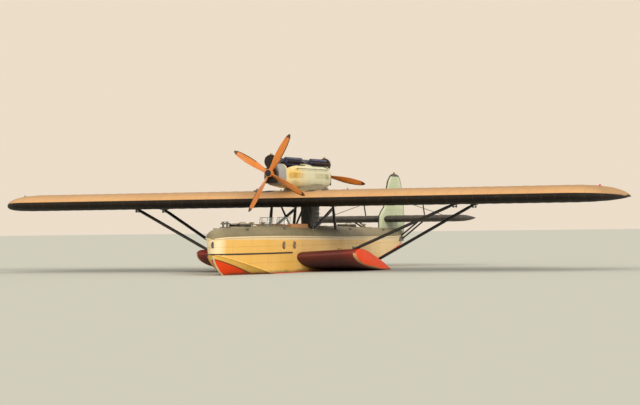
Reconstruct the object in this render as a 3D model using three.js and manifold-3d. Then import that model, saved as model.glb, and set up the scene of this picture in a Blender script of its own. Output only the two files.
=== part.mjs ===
// Tandem-engined parasol-wing flying boat with side sponsons, moored afloat.
// Millimetres, +Z up. The origin is on the waterline, on the centreline, below the middle of the wing chord.
// The nose points along -Y and the port side is +X.

import * as THREE from 'three';
import { mergeVertices } from 'three/addons/utils/BufferGeometryUtils.js';
import Module from 'manifold-3d';

const wasm = await Module();
wasm.setup();

// Driving dimensions
const GAP = 0.3;
const CLEARANCE = 12;
const SPAN = 22500;
const CHORD = 4270;
const WING_THICKNESS = 560;
const WING_CAMBER = 110;
const WING_MIDDLE_Z = 2407;
const CENTRE_HALF_SPAN = 1620;
const TIP_LENGTH = 1600;
const AILERON_FROM = 6300;
const AILERON_TO = 9600;
const AILERON_CHORD = 850;
const PROPELLER_RADIUS = 1468;
const SHAFT_Z = 3261;
const FRONT_HUB_Y = -2856;
const REAR_HUB_Y = 2060;
const BOW_Y = -7263;
const STERN_Y = 8930;
const HULL_HALF_BEAM = 992;
const SPONSON_HALF_SPAN = 2879;
const STRUT_HALF_SPAN = 5806;
const FRONT_SPAR_Y = -1119;
const REAR_SPAR_Y = 927;
const TAIL_HALF_SPAN = 3260;
const TAIL_Z = 1757;
const TAIL_CHORD = 1900;
const TAIL_MIDDLE_Y = 8515;
const ELEVATOR_HINGE_Y = 8800;
const RUDDER_HINGE_Y = 9010;

// Wing section
const LEADING_Y = -CHORD / 2;
const TRAILING_Y = CHORD / 2;
const AILERON_HINGE_Y = TRAILING_Y - AILERON_CHORD;

// Finishes
const finish = (colour, roughness, metalness) => ({ colour, roughness, metalness });
const HULL_YELLOW = finish(0xe2bd57, 0.5, 0);
const DECK_GREY = finish(0x77745c, 0.7, 0);
const BOTTOM_RED = finish(0xd8431b, 0.5, 0);
const WING_CREAM = finish(0xe6bd7e, 0.5, 0);
const STRUT_BLACK = finish(0x26231f, 0.5, 0.2);
const FIN_GREEN = finish(0xc4d3b8, 0.55, 0);
const ENGINE_METAL = finish(0x3b3f4c, 0.45, 0.7);
const WOOD = finish(0xd9782a, 0.35, 0);
const LEATHER = finish(0x5a3620, 0.7, 0);
const GLASS = finish(0xbcd0cc, 0.1, 0);

const flyingBoat = new THREE.Group();
const sides = [['port', 1], ['stbd', -1]];

// Adds one named piece with its own material.
function piece(name, geometry, look) {
  const material = new THREE.MeshStandardMaterial({
    color: look.colour,
    roughness: look.roughness,
    metalness: look.metalness,
  });
  const mesh = new THREE.Mesh(geometry, material);
  mesh.name = name;
  flyingBoat.add(mesh);
}

// A closed geometry as a solid that can be joined and cut.
function solid(geometry) {
  const bare = new THREE.BufferGeometry();
  bare.setAttribute('position', geometry.attributes.position.clone());
  if (geometry.index) bare.setIndex(geometry.index.clone());
  const merged = mergeVertices(bare, 1e-3);
  return new wasm.Manifold(new wasm.Mesh({
    numProp: 3,
    vertProperties: new Float32Array(merged.attributes.position.array),
    triVerts: new Uint32Array(merged.index.array),
  }));
}

// The triangles of a solid as a geometry.
function surface(body) {
  const mesh = body.getMesh();
  const geometry = new THREE.BufferGeometry();
  geometry.setAttribute('position', new THREE.BufferAttribute(new Float32Array(mesh.vertProperties), 3));
  geometry.setIndex(new THREE.BufferAttribute(new Uint32Array(mesh.triVerts), 1));
  return geometry;
}

// Several geometries joined to one solid.
function joined(...geometries) {
  return geometries.map(solid).reduce((whole, next) => whole.add(next));
}

// Six times the signed volume that an indexed geometry encloses.
function signedVolume(points, faces) {
  const cross = new THREE.Vector3();
  return faces.reduce((sum, [a, b, c]) => sum + points[a].dot(cross.crossVectors(points[b], points[c])), 0);
}

// A closed skin through a row of rings with equal numbers of points, capped by a fan at each end.
function loft(rings) {
  const size = rings[0].length;
  const points = rings.flat();
  const faces = [];
  for (let ring = 0; ring + 1 < rings.length; ring += 1) {
    for (let i = 0; i < size; i += 1) {
      const a = ring * size + i;
      const b = ring * size + ((i + 1) % size);
      faces.push([a, b, b + size], [a, b + size, a + size]);
    }
  }
  const capped = [0, rings.length - 1];
  capped.forEach((ring) => {
    const middle = new THREE.Vector3();
    rings[ring].forEach((point) => middle.add(point));
    points.push(middle.divideScalar(size));
    const hub = points.length - 1;
    for (let i = 0; i < size; i += 1) {
      const a = ring * size + i;
      const b = ring * size + ((i + 1) % size);
      faces.push(ring === 0 ? [b, a, hub] : [a, b, hub]);
    }
  });
  const outward = signedVolume(points, faces) > 0;
  const geometry = new THREE.BufferGeometry();
  geometry.setAttribute('position', new THREE.Float32BufferAttribute(points.flatMap((p) => p.toArray()), 3));
  geometry.setIndex(faces.flatMap((face) => (outward ? face : [...face].reverse())));
  return geometry;
}

const at = (x, y, z) => new THREE.Vector3(x, y, z);

// A box given by its middle and its sizes.
function box(middle, width, depth, height) {
  return new THREE.BoxGeometry(width, depth, height).translate(middle.x, middle.y, middle.z);
}

// A round bar from one point to another.
function rod(from, to, radius, sides = 12) {
  const along = to.clone().sub(from);
  const geometry = new THREE.CylinderGeometry(radius, radius, along.length(), sides);
  const turn = new THREE.Quaternion().setFromUnitVectors(at(0, 1, 0), along.normalize());
  const middle = from.clone().add(to).multiplyScalar(0.5);
  return geometry.applyQuaternion(turn).translate(middle.x, middle.y, middle.z);
}

// A streamlined strut from one point to another, an oval with its long axis fore and aft.
function strut(from, to, chord, thickness, sides = 12) {
  const along = to.clone().sub(from).normalize();
  const across = along.clone().cross(at(0, 1, 0)).normalize();
  const fore = across.clone().cross(along).normalize();
  const ring = (centre) => Array.from({ length: sides }, (_, i) => {
    const angle = (2 * Math.PI * i) / sides;
    return centre.clone()
      .addScaledVector(fore, (chord / 2) * Math.cos(angle))
      .addScaledVector(across, (thickness / 2) * Math.sin(angle));
  });
  return loft([ring(from), ring(to)]);
}

// Points of an aerofoil from the trailing edge over the top to the nose and back below, as [along, up].
function aerofoil(chord, thickness, camber, perSide = 9, edge = 14, swell = 0) {
  const points = [];
  for (let i = 0; i <= 2 * perSide; i += 1) {
    const side = i <= perSide ? 1 : -1;
    const share = i <= perSide ? i / perSide : (2 * perSide - i) / perSide;
    const along = (1 + Math.cos(Math.PI * share)) / 2;
    const series = 0.2969 * Math.sqrt(along) - 0.126 * along - 0.3516 * along ** 2
      + 0.2843 * along ** 3 - 0.1036 * along ** 4;
    const half = 5 * thickness * series + (edge / 2) * along;
    const mean = 4 * camber * along * (1 - along);
    points.push([chord * along, mean + side * (half + swell)]);
  }
  return points;
}

// Hull lines: three runs with a step between them
// columns: y, half breadth at the deck edge and at the chine, then z of keel, chine and deck edge, crown rise
const STEP_Y = 1200;
const HEEL_Y = 5600;
const HULL_RUNS = [
  [
    [BOW_Y, 70, 50, 600, 650, 1120, 150],
    [-7230, 165, 130, 520, 636, 1130, 180],
    [-7150, 255, 200, 400, 610, 1145, 215],
    [-6850, 400, 345, 140, 535, 1160, 270],
    [-6250, 610, 555, -130, 385, 1172, 312],
    [-5400, 815, 775, -340, 175, 1176, 335],
    [-4400, 945, 925, -480, -40, 1174, 350],
    [-3200, HULL_HALF_BEAM, 985, -570, -190, 1165, 365],
    [-1200, HULL_HALF_BEAM, HULL_HALF_BEAM, -630, -285, 1135, 385],
    [STEP_Y, HULL_HALF_BEAM, HULL_HALF_BEAM, -660, -330, 1105, 400],
  ],
  [
    [STEP_Y + 2, 990, 965, -520, -200, 1105, 400],
    [3400, 880, 800, -430, -60, 1090, 390],
    [HEEL_Y, 715, 470, -300, 110, 1080, 365],
  ],
  [
    [HEEL_Y + 2, 714, 540, 20, 290, 1080, 365],
    [7300, 560, 440, 400, 560, 1085, 330],
    [8500, 455, 360, 680, 790, 1110, 280],
    [STERN_Y, 350, 270, 760, 850, 1130, 235],
  ],
];

// The lines at one place: a cubic between two rows whose slopes come from the rows on either side
function faired(run, y) {
  const found = run.findIndex((row) => row[0] >= y);
  const high = found < 0 ? run.length - 1 : Math.max(found, 1);
  const slope = (row, column) => {
    const before = run[Math.max(row - 1, 0)];
    const after = run[Math.min(row + 1, run.length - 1)];
    return (after[column] - before[column]) / (after[0] - before[0]);
  };
  const length = run[high][0] - run[high - 1][0];
  const t = (y - run[high - 1][0]) / length;
  return run[high].map((_, column) => (
    run[high - 1][column] * (1 + 2 * t) * (1 - t) ** 2
    + run[high][column] * t ** 2 * (3 - 2 * t)
    + length * t * (1 - t) * ((1 - t) * slope(high - 1, column) - t * slope(high, column))
  ));
}
const runAt = (y) => HULL_RUNS.find((run) => y <= run[run.length - 1][0]) ?? HULL_RUNS[2];
const hullAt = (y) => faired(runAt(y), y);

// Stations: each row and, between long rows, places at most this far apart
const STATION_PITCH = 420;
const HULL_LINES = HULL_RUNS.flatMap((run) => run.flatMap((row, i) => {
  if (i === run.length - 1) return [row];
  const length = run[i + 1][0] - row[0];
  const count = Math.ceil(length / STATION_PITCH);
  return Array.from({ length: count }, (_, step) => faired(run, row[0] + (length * step) / count));
}));

// Half breadth of the hull side between the chine and the deck edge.
function halfBreadth(y, z) {
  const [, deckHalf, chineHalf, , chineZ, edgeZ] = hullAt(y);
  return chineHalf + ((deckHalf - chineHalf) * (z - chineZ)) / (edgeZ - chineZ);
}

// Hull below the deck edge: keel, chine, side and a flat top that the deck covers.
function hullRing([y, deckHalf, chineHalf, keelZ, chineZ, edgeZ], swell = 0) {
  const half = [
    [0, keelZ - swell],
    [chineHalf + swell, chineZ - swell],
    [deckHalf + swell, edgeZ + swell],
  ];
  const mirrored = half.slice(1).reverse().map(([x, z]) => [-x, z]);
  return [...half, ...mirrored].map(([x, z]) => at(x, y, z));
}

// Deck: a turtle back on the hull's flat top, steep at its edge and nearly flat along the middle
const ARCH_STEPS = 12;
const ARCH_POWER = 0.8;
const DECK_EDGE = 12;
function deckRing([y, deckHalf, , , , edgeZ, crown], lift = 0) {
  const arch = Array.from({ length: ARCH_STEPS + 1 }, (_, i) => {
    const angle = (Math.PI * i) / ARCH_STEPS;
    const rise = Math.sin(angle) ** ARCH_POWER;
    return at((deckHalf + lift) * Math.cos(angle), y, edgeZ + DECK_EDGE + crown * rise + lift);
  });
  const foot = (side) => at(side * (deckHalf + lift), y, edgeZ + GAP - lift);
  return [foot(-1), foot(1), ...arch];
}

// Openings in the deck
const COCKPIT = { fromY: -2450, toY: -1330, half: 640, floorZ: 760 };
const HATCH_RADIUS = 310;
const BOW_HATCH_Y = -5250;
const AFT_HATCH_Y = 3900;
const HATCH_PIT_Z = 950;

function deckTop(y) {
  const [, , , , , edgeZ, crown] = hullAt(y);
  return edgeZ + DECK_EDGE + crown;
}

function cockpitVoid(grow) {
  const length = COCKPIT.toY - COCKPIT.fromY;
  const middle = at(0, (COCKPIT.fromY + COCKPIT.toY) / 2, COCKPIT.floorZ + 600);
  return solid(box(middle, 2 * (COCKPIT.half + grow), length + 2 * grow, 1200));
}
function hatchVoid(y, radius) {
  return solid(rod(at(0, y, HATCH_PIT_Z), at(0, y, HATCH_PIT_Z + 1200), radius, 24));
}

const hatches = [BOW_HATCH_Y, AFT_HATCH_Y];
let hullSolid = solid(loft(HULL_LINES.map((line) => hullRing(line))));
let deckSolid = solid(loft(HULL_LINES.map((line) => deckRing(line))));
hullSolid = hullSolid.subtract(cockpitVoid(0));
deckSolid = deckSolid.subtract(cockpitVoid(0));
hatches.forEach((y) => {
  const pit = box(at(0, y, HATCH_PIT_Z + 600), 2 * HATCH_RADIUS, 2 * HATCH_RADIUS, 1200);
  hullSolid = hullSolid.subtract(solid(pit));
  deckSolid = deckSolid.subtract(hatchVoid(y, HATCH_RADIUS));
});

// Hull and deck are built in three sections that meet at bulkheads
// columns: name, from y, to y
const BOW_BULKHEAD_Y = -4400;
const STEP_BULKHEAD_Y = 1230;
const SECTIONS = [
  ['bow', BOW_Y - 50, BOW_BULKHEAD_Y],
  ['middle', BOW_BULKHEAD_Y, STEP_BULKHEAD_Y],
  ['aft', STEP_BULKHEAD_Y, STERN_Y + 50],
];
SECTIONS.forEach(([name, from, to]) => {
  const slab = solid(box(at(0, (from + to) / 2, 500), 3000, to - from - GAP, 4000));
  piece(`hull_${name}`, surface(hullSolid.intersect(slab)), HULL_YELLOW);
  piece(`deck_${name}`, surface(deckSolid.intersect(slab)), DECK_GREY);
});

// What stands on the deck is cut by the deck raised by the gap
const deckRaised = solid(loft(HULL_LINES.map((line) => deckRing(line, GAP))));
const onDeck = (body) => body.subtract(deckRaised);

// Hatches: a round coaming with two hinge lugs in front, and a lid whose barrel turns between them
const COAMING_WALL = 42;
const COAMING_RISE = 52;
const LID_GAP = 6;
const HINGE_REACH = 48;
const BARREL_HALF = 130;
function hatch(name, y) {
  const rim = deckTop(y) + COAMING_RISE;
  const outer = HATCH_RADIUS + COAMING_WALL;
  const hingeY = y - outer - HINGE_REACH;
  const hingeZ = rim + LID_GAP + 12;
  const ring = solid(rod(at(0, y, rim - 150), at(0, y, rim), outer, 24))
    .subtract(solid(rod(at(0, y, rim - 200), at(0, y, rim + 50), HATCH_RADIUS, 24)));
  const lugs = sides.map(([, side]) => {
    const x = side * (BARREL_HALF + LID_GAP + 14);
    const arm = box(at(x, hingeY + 38, rim - 55), 28, 120, 110);
    const ear = box(at(x, hingeY, rim), 28, 44, 80);
    return joined(arm, ear);
  });
  const coaming = onDeck(lugs.reduce((whole, lug) => whole.add(lug), ring));
  piece(`${name}_hatch_coaming`, surface(coaming), STRUT_BLACK);
  const profile = [[0, 0], [outer, 0], [outer, 16], [outer * 0.7, 32], [outer * 0.35, 40], [0, 43]];
  const dome = new THREE.LatheGeometry(profile.map(([r, z]) => new THREE.Vector2(r, z)), 24)
    .rotateX(Math.PI / 2)
    .translate(0, y, rim + LID_GAP);
  const barrel = rod(at(-BARREL_HALF, hingeY, hingeZ), at(BARREL_HALF, hingeY, hingeZ), 15, 12);
  const straps = [-80, 80].map((x) => box(at(x, hingeY + 60, hingeZ - 2), 50, 120, 14));
  piece(`${name}_hatch_lid`, surface(joined(dome, barrel, ...straps)), DECK_GREY);
}

// Mooring bollard on the bow: two posts and a cross bar on one plate
const BOLLARD_Y = -6350;
function bollard() {
  const base = deckTop(BOLLARD_Y);
  const parts = [
    box(at(0, BOLLARD_Y, base - 2), 300, 180, 28),
    rod(at(-150, BOLLARD_Y, base + 120), at(150, BOLLARD_Y, base + 120), 22, 12),
    box(at(0, BOLLARD_Y, base + 176), 220, 100, 16),
  ];
  [-70, 70].forEach((x) => parts.push(rod(at(x, BOLLARD_Y, base), at(x, BOLLARD_Y, base + 170), 34, 16)));
  return onDeck(joined(...parts));
}

// Cockpit: padded rim, two windscreens, panel, two seats and the wheel column
const RIM_WALL = 46;
const RIM_HEIGHT = 240;
const SEAT_X = 310;
function cockpit() {
  const middleY = (COCKPIT.fromY + COCKPIT.toY) / 2;
  const length = COCKPIT.toY - COCKPIT.fromY;
  const rimMiddle = at(0, middleY, deckTop(middleY) + 45 - RIM_HEIGHT / 2);
  const rim = solid(box(rimMiddle, 2 * (COCKPIT.half + RIM_WALL), length + 2 * RIM_WALL, RIM_HEIGHT));
  piece('cockpit_coaming', surface(onDeck(rim.subtract(cockpitVoid(0)))), LEATHER);
  const panel = box(at(0, COCKPIT.fromY + 20 + GAP, 1400), 1240, 40, 240);
  piece('instrument_panel', panel, STRUT_BLACK);
  const tubes = [
    rod(at(0, -2330, COCKPIT.floorZ + 8), at(0, -2240, 1230), 26, 12),
    rod(at(-SEAT_X, -2240, 1230), at(SEAT_X, -2240, 1230), 22, 12),
  ];
  sides.forEach(([name, side]) => {
    const x = side * SEAT_X;
    const pan = box(at(x, -1700, COCKPIT.floorZ + 120 + GAP), 430, 460, 240);
    const back = box(at(x, -1520, COCKPIT.floorZ + 430), 430, 100, 520);
    piece(`seat_${name}`, surface(joined(pan, back)), LEATHER);
    const wheel = new THREE.TorusGeometry(150, 14, 8, 24).rotateX(THREE.MathUtils.degToRad(60));
    tubes.push(wheel.translate(x, -2140, 1280));
    tubes.push(rod(at(x, -2240, 1225), at(x, -2138, 1284), 18, 10));
    tubes.push(rod(at(x - 150, -2140, 1280), at(x + 150, -2140, 1280), 9, 8));
    const screen = Array.from({ length: 9 }, (_, i) => {
      const angle = THREE.MathUtils.degToRad(200 + (140 * i) / 8);
      const arc = (radius, z, lean) => at(
        x + radius * Math.cos(angle),
        COCKPIT.fromY + 20 + radius * Math.sin(angle) + lean,
        z,
      );
      const foot = deckTop(COCKPIT.fromY) - 130;
      return [arc(262, foot, -30), arc(270, foot, -30), arc(250, foot + 400, 60), arc(242, foot + 400, 60)];
    });
    piece(`windscreen_${name}`, surface(onDeck(solid(loft(screen)))), GLASS);
  });
  piece('control_column', surface(joined(...tubes)), STRUT_BLACK);
}

hatch('bow', BOW_HATCH_Y);
hatch('aft', AFT_HATCH_Y);
piece('mooring_bollard', surface(bollard()), ENGINE_METAL);
cockpit();

// What meets the hull side is cut by the hull swollen by a little more than the gap
const hullKeepOut = solid(loft(HULL_LINES.map((line) => hullRing(line, 1))));

// Rubbing strake round the bow
const STRAKE_Z = 655;
const STRAKE_AFT_Y = -3350;
const STRAKE_HEIGHT = 46;
const STRAKE_DEPTH = 26;
function strake() {
  const rows = HULL_LINES.filter(([y]) => y < STRAKE_AFT_Y).map(([y]) => y);
  const stations = [...rows, STRAKE_AFT_Y];
  const port = stations.map((y) => at(halfBreadth(y, STRAKE_Z), y, 0)).reverse();
  const path = [...port, ...port.map((p) => at(-p.x, p.y, 0)).reverse()];
  const rings = path.map((p, i) => {
    const before = path[Math.max(i - 1, 0)];
    const after = path[Math.min(i + 1, path.length - 1)];
    const along = after.clone().sub(before).normalize();
    const out = at(along.y, -along.x, 0).multiplyScalar(-1);
    if (out.dot(at(p.x, p.y + 3000, 0)) < 0) out.negate();
    const corner = (depth, height) => at(p.x, p.y, STRAKE_Z + height).addScaledVector(out, depth);
    return [
      corner(-30, -STRAKE_HEIGHT / 2),
      corner(STRAKE_DEPTH * 0.5, -STRAKE_HEIGHT / 2),
      corner(STRAKE_DEPTH, 0),
      corner(STRAKE_DEPTH * 0.5, STRAKE_HEIGHT / 2),
      corner(-30, STRAKE_HEIGHT / 2),
    ];
  });
  return solid(loft(rings)).subtract(hullKeepOut);
}
piece('rubbing_strake', surface(strake()), STRUT_BLACK);

// Sponsons
const SPONSON = {
  rootY: -3000,
  tipY: -2570,
  aftY: 812,
  rootZ: 500,
  tipZ: 610,
  aftZ: -10,
  thick: 500,
  camber: 30,
};
function sponsonRing(x, noseY, noseZ, swell = 0) {
  const chord = SPONSON.aftY - noseY;
  const drop = (SPONSON.aftZ - noseZ) / chord;
  return aerofoil(chord, SPONSON.thick, SPONSON.camber, 8, 20, swell).map(([along, up]) => (
    at(x, noseY + along, noseZ + drop * along + up)
  ));
}
function sponsonSkin(side, swell) {
  return loft([
    sponsonRing(side * (HULL_HALF_BEAM - 90), SPONSON.rootY, SPONSON.rootZ, swell),
    sponsonRing(side * (SPONSON_HALF_SPAN - 60), SPONSON.tipY, SPONSON.tipZ, swell),
    sponsonRing(side * SPONSON_HALF_SPAN, SPONSON.tipY + 60, SPONSON.tipZ, swell),
  ]);
}
sides.forEach(([name, side]) => {
  const sponson = solid(sponsonSkin(side, 0)).subtract(hullKeepOut);
  piece(`sponson_${name}`, surface(sponson), BOTTOM_RED);
});

// Wing
const WING_UP = WING_MIDDLE_Z - WING_CAMBER / 2;
function wingRing(x, swell = 0) {
  const outside = Math.max(0, Math.abs(x) - (SPAN / 2 - TIP_LENGTH)) / TIP_LENGTH;
  const share = Math.sqrt(Math.max(0.012, 1 - outside ** 2.4));
  const chord = CHORD * share;
  const noseY = LEADING_Y + (CHORD - chord) * 0.56;
  const thickness = WING_THICKNESS * share ** 0.9;
  return aerofoil(chord, thickness, WING_CAMBER * share, 9, 14, swell)
    .map(([along, up]) => at(x, noseY + along, WING_UP + up));
}
const wingKeepOut = solid(loft([wingRing(-9000, GAP), wingRing(9000, GAP)]));
const TIP_STEPS = [0.35, 0.6, 0.78, 0.9, 0.97, 1];
const tipStations = TIP_STEPS.map((share) => SPAN / 2 - TIP_LENGTH + share * TIP_LENGTH);

const centreBlank = solid(loft([wingRing(-CENTRE_HALF_SPAN), wingRing(CENTRE_HALF_SPAN)]));
const TRAILING_CUT_Y = 1790;
const cutOut = solid(box(at(0, TRAILING_CUT_Y + 500, WING_MIDDLE_Z), 4000, 1000, 1000));
// Flat pads over the spars, where a crane's sling is bolted on
const HOIST_X = 1250;
const HOIST_TOP_Z = 2746;
const hoistPads = sides.flatMap(([, side]) => [FRONT_SPAR_Y, REAR_SPAR_Y].map((y) => (
  solid(box(at(side * HOIST_X, y, HOIST_TOP_Z - 100), 180, 180, 200))
)));
const centre = hoistPads.reduce((whole, pad) => whole.add(pad), centreBlank.subtract(cutOut));
piece('wing_centre', surface(centre), WING_CREAM);

const hingeShare = (AILERON_HINGE_Y - LEADING_Y) / CHORD;
const AILERON_Z = WING_UP + 4 * WING_CAMBER * hingeShare * (1 - hingeShare);
const AILERON_NOSE = 112;
sides.forEach(([name, side]) => {
  const stations = [CENTRE_HALF_SPAN + 2, SPAN / 2 - TIP_LENGTH, ...tipStations];
  const blank = solid(loft(stations.map((x) => wingRing(side * x))));
  const bayFrom = AILERON_HINGE_Y - AILERON_NOSE - 2 * CLEARANCE;
  const bayMiddle = at(side * (AILERON_FROM + AILERON_TO) / 2, bayFrom + 1000, WING_MIDDLE_Z);
  const bay = solid(box(bayMiddle, AILERON_TO - AILERON_FROM + 2 * CLEARANCE, 2000, 1000));
  piece(`wing_${name}`, surface(blank.subtract(bay)), WING_CREAM);
  const flapMiddle = at(bayMiddle.x, AILERON_HINGE_Y + 1000, WING_MIDDLE_Z);
  const flap = blank.intersect(solid(box(flapMiddle, AILERON_TO - AILERON_FROM, 2000, 1000)));
  const hinge = (x) => at(side * x, AILERON_HINGE_Y, AILERON_Z);
  const nose = solid(rod(hinge(AILERON_FROM), hinge(AILERON_TO), AILERON_NOSE, 24));
  piece(`aileron_${name}`, surface(flap.add(nose)), WING_CREAM);
});

// Wing struts, from the sponson to the spars
const WING_UNDER_Z = 2170;
const wingStruts = [
  ['front', at(2650, -2050, 735), at(STRUT_HALF_SPAN, FRONT_SPAR_Y, WING_UNDER_Z)],
  ['rear', at(2500, 200, 290), at(STRUT_HALF_SPAN, REAR_SPAR_Y, WING_UNDER_Z)],
];
function onSide(point, side) {
  return at(side * point.x, point.y, point.z);
}
sides.forEach(([name, side]) => {
  wingStruts.forEach(([end, foot, head]) => {
    const from = onSide(foot, side);
    const to = onSide(head, side);
    const bar = strut(from, to, 230, 92);
    const plate = box(at(to.x, to.y, to.z + 4), 200, 300, 20);
    const pad = box(at(from.x, from.y, from.z - 30), 220, 320, 100);
    const fitted = joined(bar, plate, pad).subtract(wingKeepOut).subtract(solid(sponsonSkin(side, GAP)));
    piece(`wing_strut_${end}_${name}`, surface(fitted), STRUT_BLACK);
  });
});

// Cabane between the hull and the wing
const CABANE_HEAD = 700;
const CABANE_FOOT = 800;
const betweenDeckAndWing = (body) => onDeck(body).subtract(wingKeepOut);
sides.forEach(([name, side]) => {
  const footZ = deckTop(0) - 230;
  const legs = [FRONT_SPAR_Y, REAR_SPAR_Y].map((y) => (
    strut(at(side * CABANE_FOOT, y, footZ), at(side * CABANE_HEAD, y, WING_UNDER_Z + 20), 190, 80)
  ));
  const diagonal = strut(
    at(side * CABANE_FOOT, FRONT_SPAR_Y, footZ + 60),
    at(side * CABANE_HEAD, REAR_SPAR_Y, WING_UNDER_Z - 40),
    120,
    56,
  );
  piece(`cabane_${name}`, surface(betweenDeckAndWing(joined(...legs, diagonal))), STRUT_BLACK);
});
const braceFoot = (side) => at(side * 110, FRONT_SPAR_Y + 150, deckTop(FRONT_SPAR_Y) + 3);
const braceHead = (side) => at(side * 420, FRONT_SPAR_Y + 150, WING_UNDER_Z + 20);
const braces = sides.map(([, side]) => strut(braceFoot(side), braceHead(side), 110, 60));
const footPlate = box(at(0, FRONT_SPAR_Y + 150, deckTop(FRONT_SPAR_Y) + 13), 420, 180, 20);
piece('cabane_braces', surface(betweenDeckAndWing(joined(...braces, footPlate))), STRUT_BLACK);
const pylon = solid(strut(at(0, 600, deckTop(600) - 60), at(0, 600, WING_UNDER_Z + 60), 1300, 420, 16));
piece('pylon', surface(betweenDeckAndWing(pylon)), STRUT_BLACK);

// Nacelle shell: rounded rectangles, open above the cylinder banks and below at the wing
// columns: y, half breadth, bottom z, top z
const NACELLE_LINES = [
  [-2660, 250, 2960, 3520],
  [-2350, 370, 2860, 3590],
  [-1500, 450, 2790, 3620],
  [900, 450, 2790, 3620],
  [1550, 380, 2840, 3590],
  [1840, 260, 2960, 3520],
];
function nacelleRing([y, half, low, high], wall = 0) {
  const middle = (low + high) / 2;
  return Array.from({ length: 20 }, (_, i) => {
    const angle = (2 * Math.PI * (i + 0.5)) / 20;
    const square = (value) => Math.sign(value) * Math.abs(value) ** 0.62;
    const x = (half - wall) * square(Math.cos(angle));
    return at(x, y, middle + ((high - low) / 2 - wall) * square(Math.sin(angle)));
  });
}
const NACELLE_WALL = 30;
const ENGINE_BAYS = [[-2250, -700], [-100, 1450]];
const inner = NACELLE_LINES.map(([y, ...rest], i) => {
  const ends = i === 0 || i === NACELLE_LINES.length - 1;
  const shift = ends ? NACELLE_WALL * (i === 0 ? 1 : -1) : 0;
  return nacelleRing([y + shift, ...rest], NACELLE_WALL);
});
let nacelle = solid(loft(NACELLE_LINES.map((line) => nacelleRing(line)))).subtract(solid(loft(inner)));
ENGINE_BAYS.forEach(([from, to]) => {
  nacelle = nacelle.subtract(solid(box(at(0, (from + to) / 2, 3600), 720, to - from, 500)));
});
[FRONT_HUB_Y, REAR_HUB_Y].forEach((y) => {
  nacelle = nacelle.subtract(solid(rod(at(0, y - 500, SHAFT_Z), at(0, y + 500, SHAFT_Z), 90, 16)));
});
const saddles = [-1400, 700].map((y) => solid(box(at(0, y, 2755), 560, 420, 110)));
const wingTop = solid(loft([wingRing(-1500, 1), wingRing(1500, 1)]));
saddles.forEach((saddle) => {
  nacelle = nacelle.add(saddle.subtract(wingTop));
});
piece('nacelle', surface(nacelle), HULL_YELLOW);

// Engines: crankcase, two banks of six cylinders and the nose that carries the shaft
const BANK_ANGLE = THREE.MathUtils.degToRad(24);
const CYLINDERS = 6;
const CYLINDER_PITCH = 215;
const CYLINDER_LENGTH = 400;
const CYLINDER_RADIUS = 78;
const COVER_REACH = 415;
const EXHAUST = { from: 330, out: 150, aft: 40, up: 34, radius: 27 };
const engines = [['front', -1475, -1, FRONT_HUB_Y], ['rear', 675, 1, REAR_HUB_Y]];
engines.forEach(([name, middleY, way, hubY]) => {
  const parts = [box(at(0, middleY, SHAFT_Z - 30), 460, 1400, 420)];
  sides.forEach(([, side]) => {
    for (let cylinder = 0; cylinder < CYLINDERS; cylinder += 1) {
      const y = middleY + (cylinder - (CYLINDERS - 1) / 2) * CYLINDER_PITCH;
      const reach = (length) => at(
        side * (90 + length * Math.sin(BANK_ANGLE)),
        y,
        SHAFT_Z + 120 + length * Math.cos(BANK_ANGLE),
      );
      parts.push(rod(reach(0), reach(CYLINDER_LENGTH), CYLINDER_RADIUS, 12));
      const port = reach(EXHAUST.from);
      const mouth = at(port.x + side * EXHAUST.out, y + way * EXHAUST.aft, port.z + EXHAUST.up);
      parts.push(rod(port, mouth, EXHAUST.radius, 8));
    }
    const cover = (y) => at(
      side * (90 + COVER_REACH * Math.sin(BANK_ANGLE)),
      y,
      SHAFT_Z + 120 + COVER_REACH * Math.cos(BANK_ANGLE),
    );
    parts.push(rod(cover(middleY - 640), cover(middleY + 640), 52, 12));
  });
  // The shaft ends just behind the propeller's boss
  parts.push(rod(at(0, middleY, SHAFT_Z), at(0, hubY - way * 53, SHAFT_Z), 60, 16));
  piece(`${name}_engine`, surface(joined(...parts)), ENGINE_METAL);
});

// Radiators: a round header above a waisted core, with a hole for the shaft
function radiator(fromY, toY) {
  const outline = new THREE.Shape();
  outline.absarc(0, 3650, 225, -0.35 * Math.PI, 1.35 * Math.PI, false);
  outline.lineTo(-170, 3400);
  outline.lineTo(-230, 3300);
  outline.lineTo(-230, 2930);
  outline.lineTo(230, 2930);
  outline.lineTo(230, 3300);
  outline.lineTo(170, 3400);
  const hole = new THREE.Path();
  hole.absarc(0, SHAFT_Z, 90, 0, 2 * Math.PI, true);
  outline.holes.push(hole);
  const cut = { depth: toY - fromY, bevelEnabled: false, curveSegments: 14 };
  return new THREE.ExtrudeGeometry(outline, cut).rotateX(Math.PI / 2).translate(0, toY, 0);
}
piece('front_radiator', radiator(-2790, -2662), STRUT_BLACK);
piece('rear_radiator', radiator(1842, 1940), STRUT_BLACK);

// Propellers: each blade is an oval section that twists and tapers from the boss to the tip
// columns: share of the radius, chord, thickness, pitch angle in degrees
const BLADE_LINES = [
  [0.06, 150, 110, 62],
  [0.2, 190, 74, 48],
  [0.4, 235, 48, 34],
  [0.62, 235, 34, 25],
  [0.82, 190, 24, 20],
  [0.94, 125, 17, 18],
  [1, 46, 12, 17],
];
function blade(turn) {
  const rings = BLADE_LINES.map(([share, chord, thickness, pitch]) => {
    const tilt = THREE.MathUtils.degToRad(pitch);
    return Array.from({ length: 10 }, (_, i) => {
      const angle = (2 * Math.PI * i) / 10;
      const wide = (chord / 2) * Math.cos(angle);
      const thick = (thickness / 2) * Math.sin(angle);
      const point = at(
        wide * Math.cos(tilt) - thick * Math.sin(tilt),
        wide * Math.sin(tilt) + thick * Math.cos(tilt),
        share * PROPELLER_RADIUS,
      );
      return point.applyAxisAngle(at(0, 1, 0), turn);
    });
  });
  return loft(rings);
}
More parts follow.
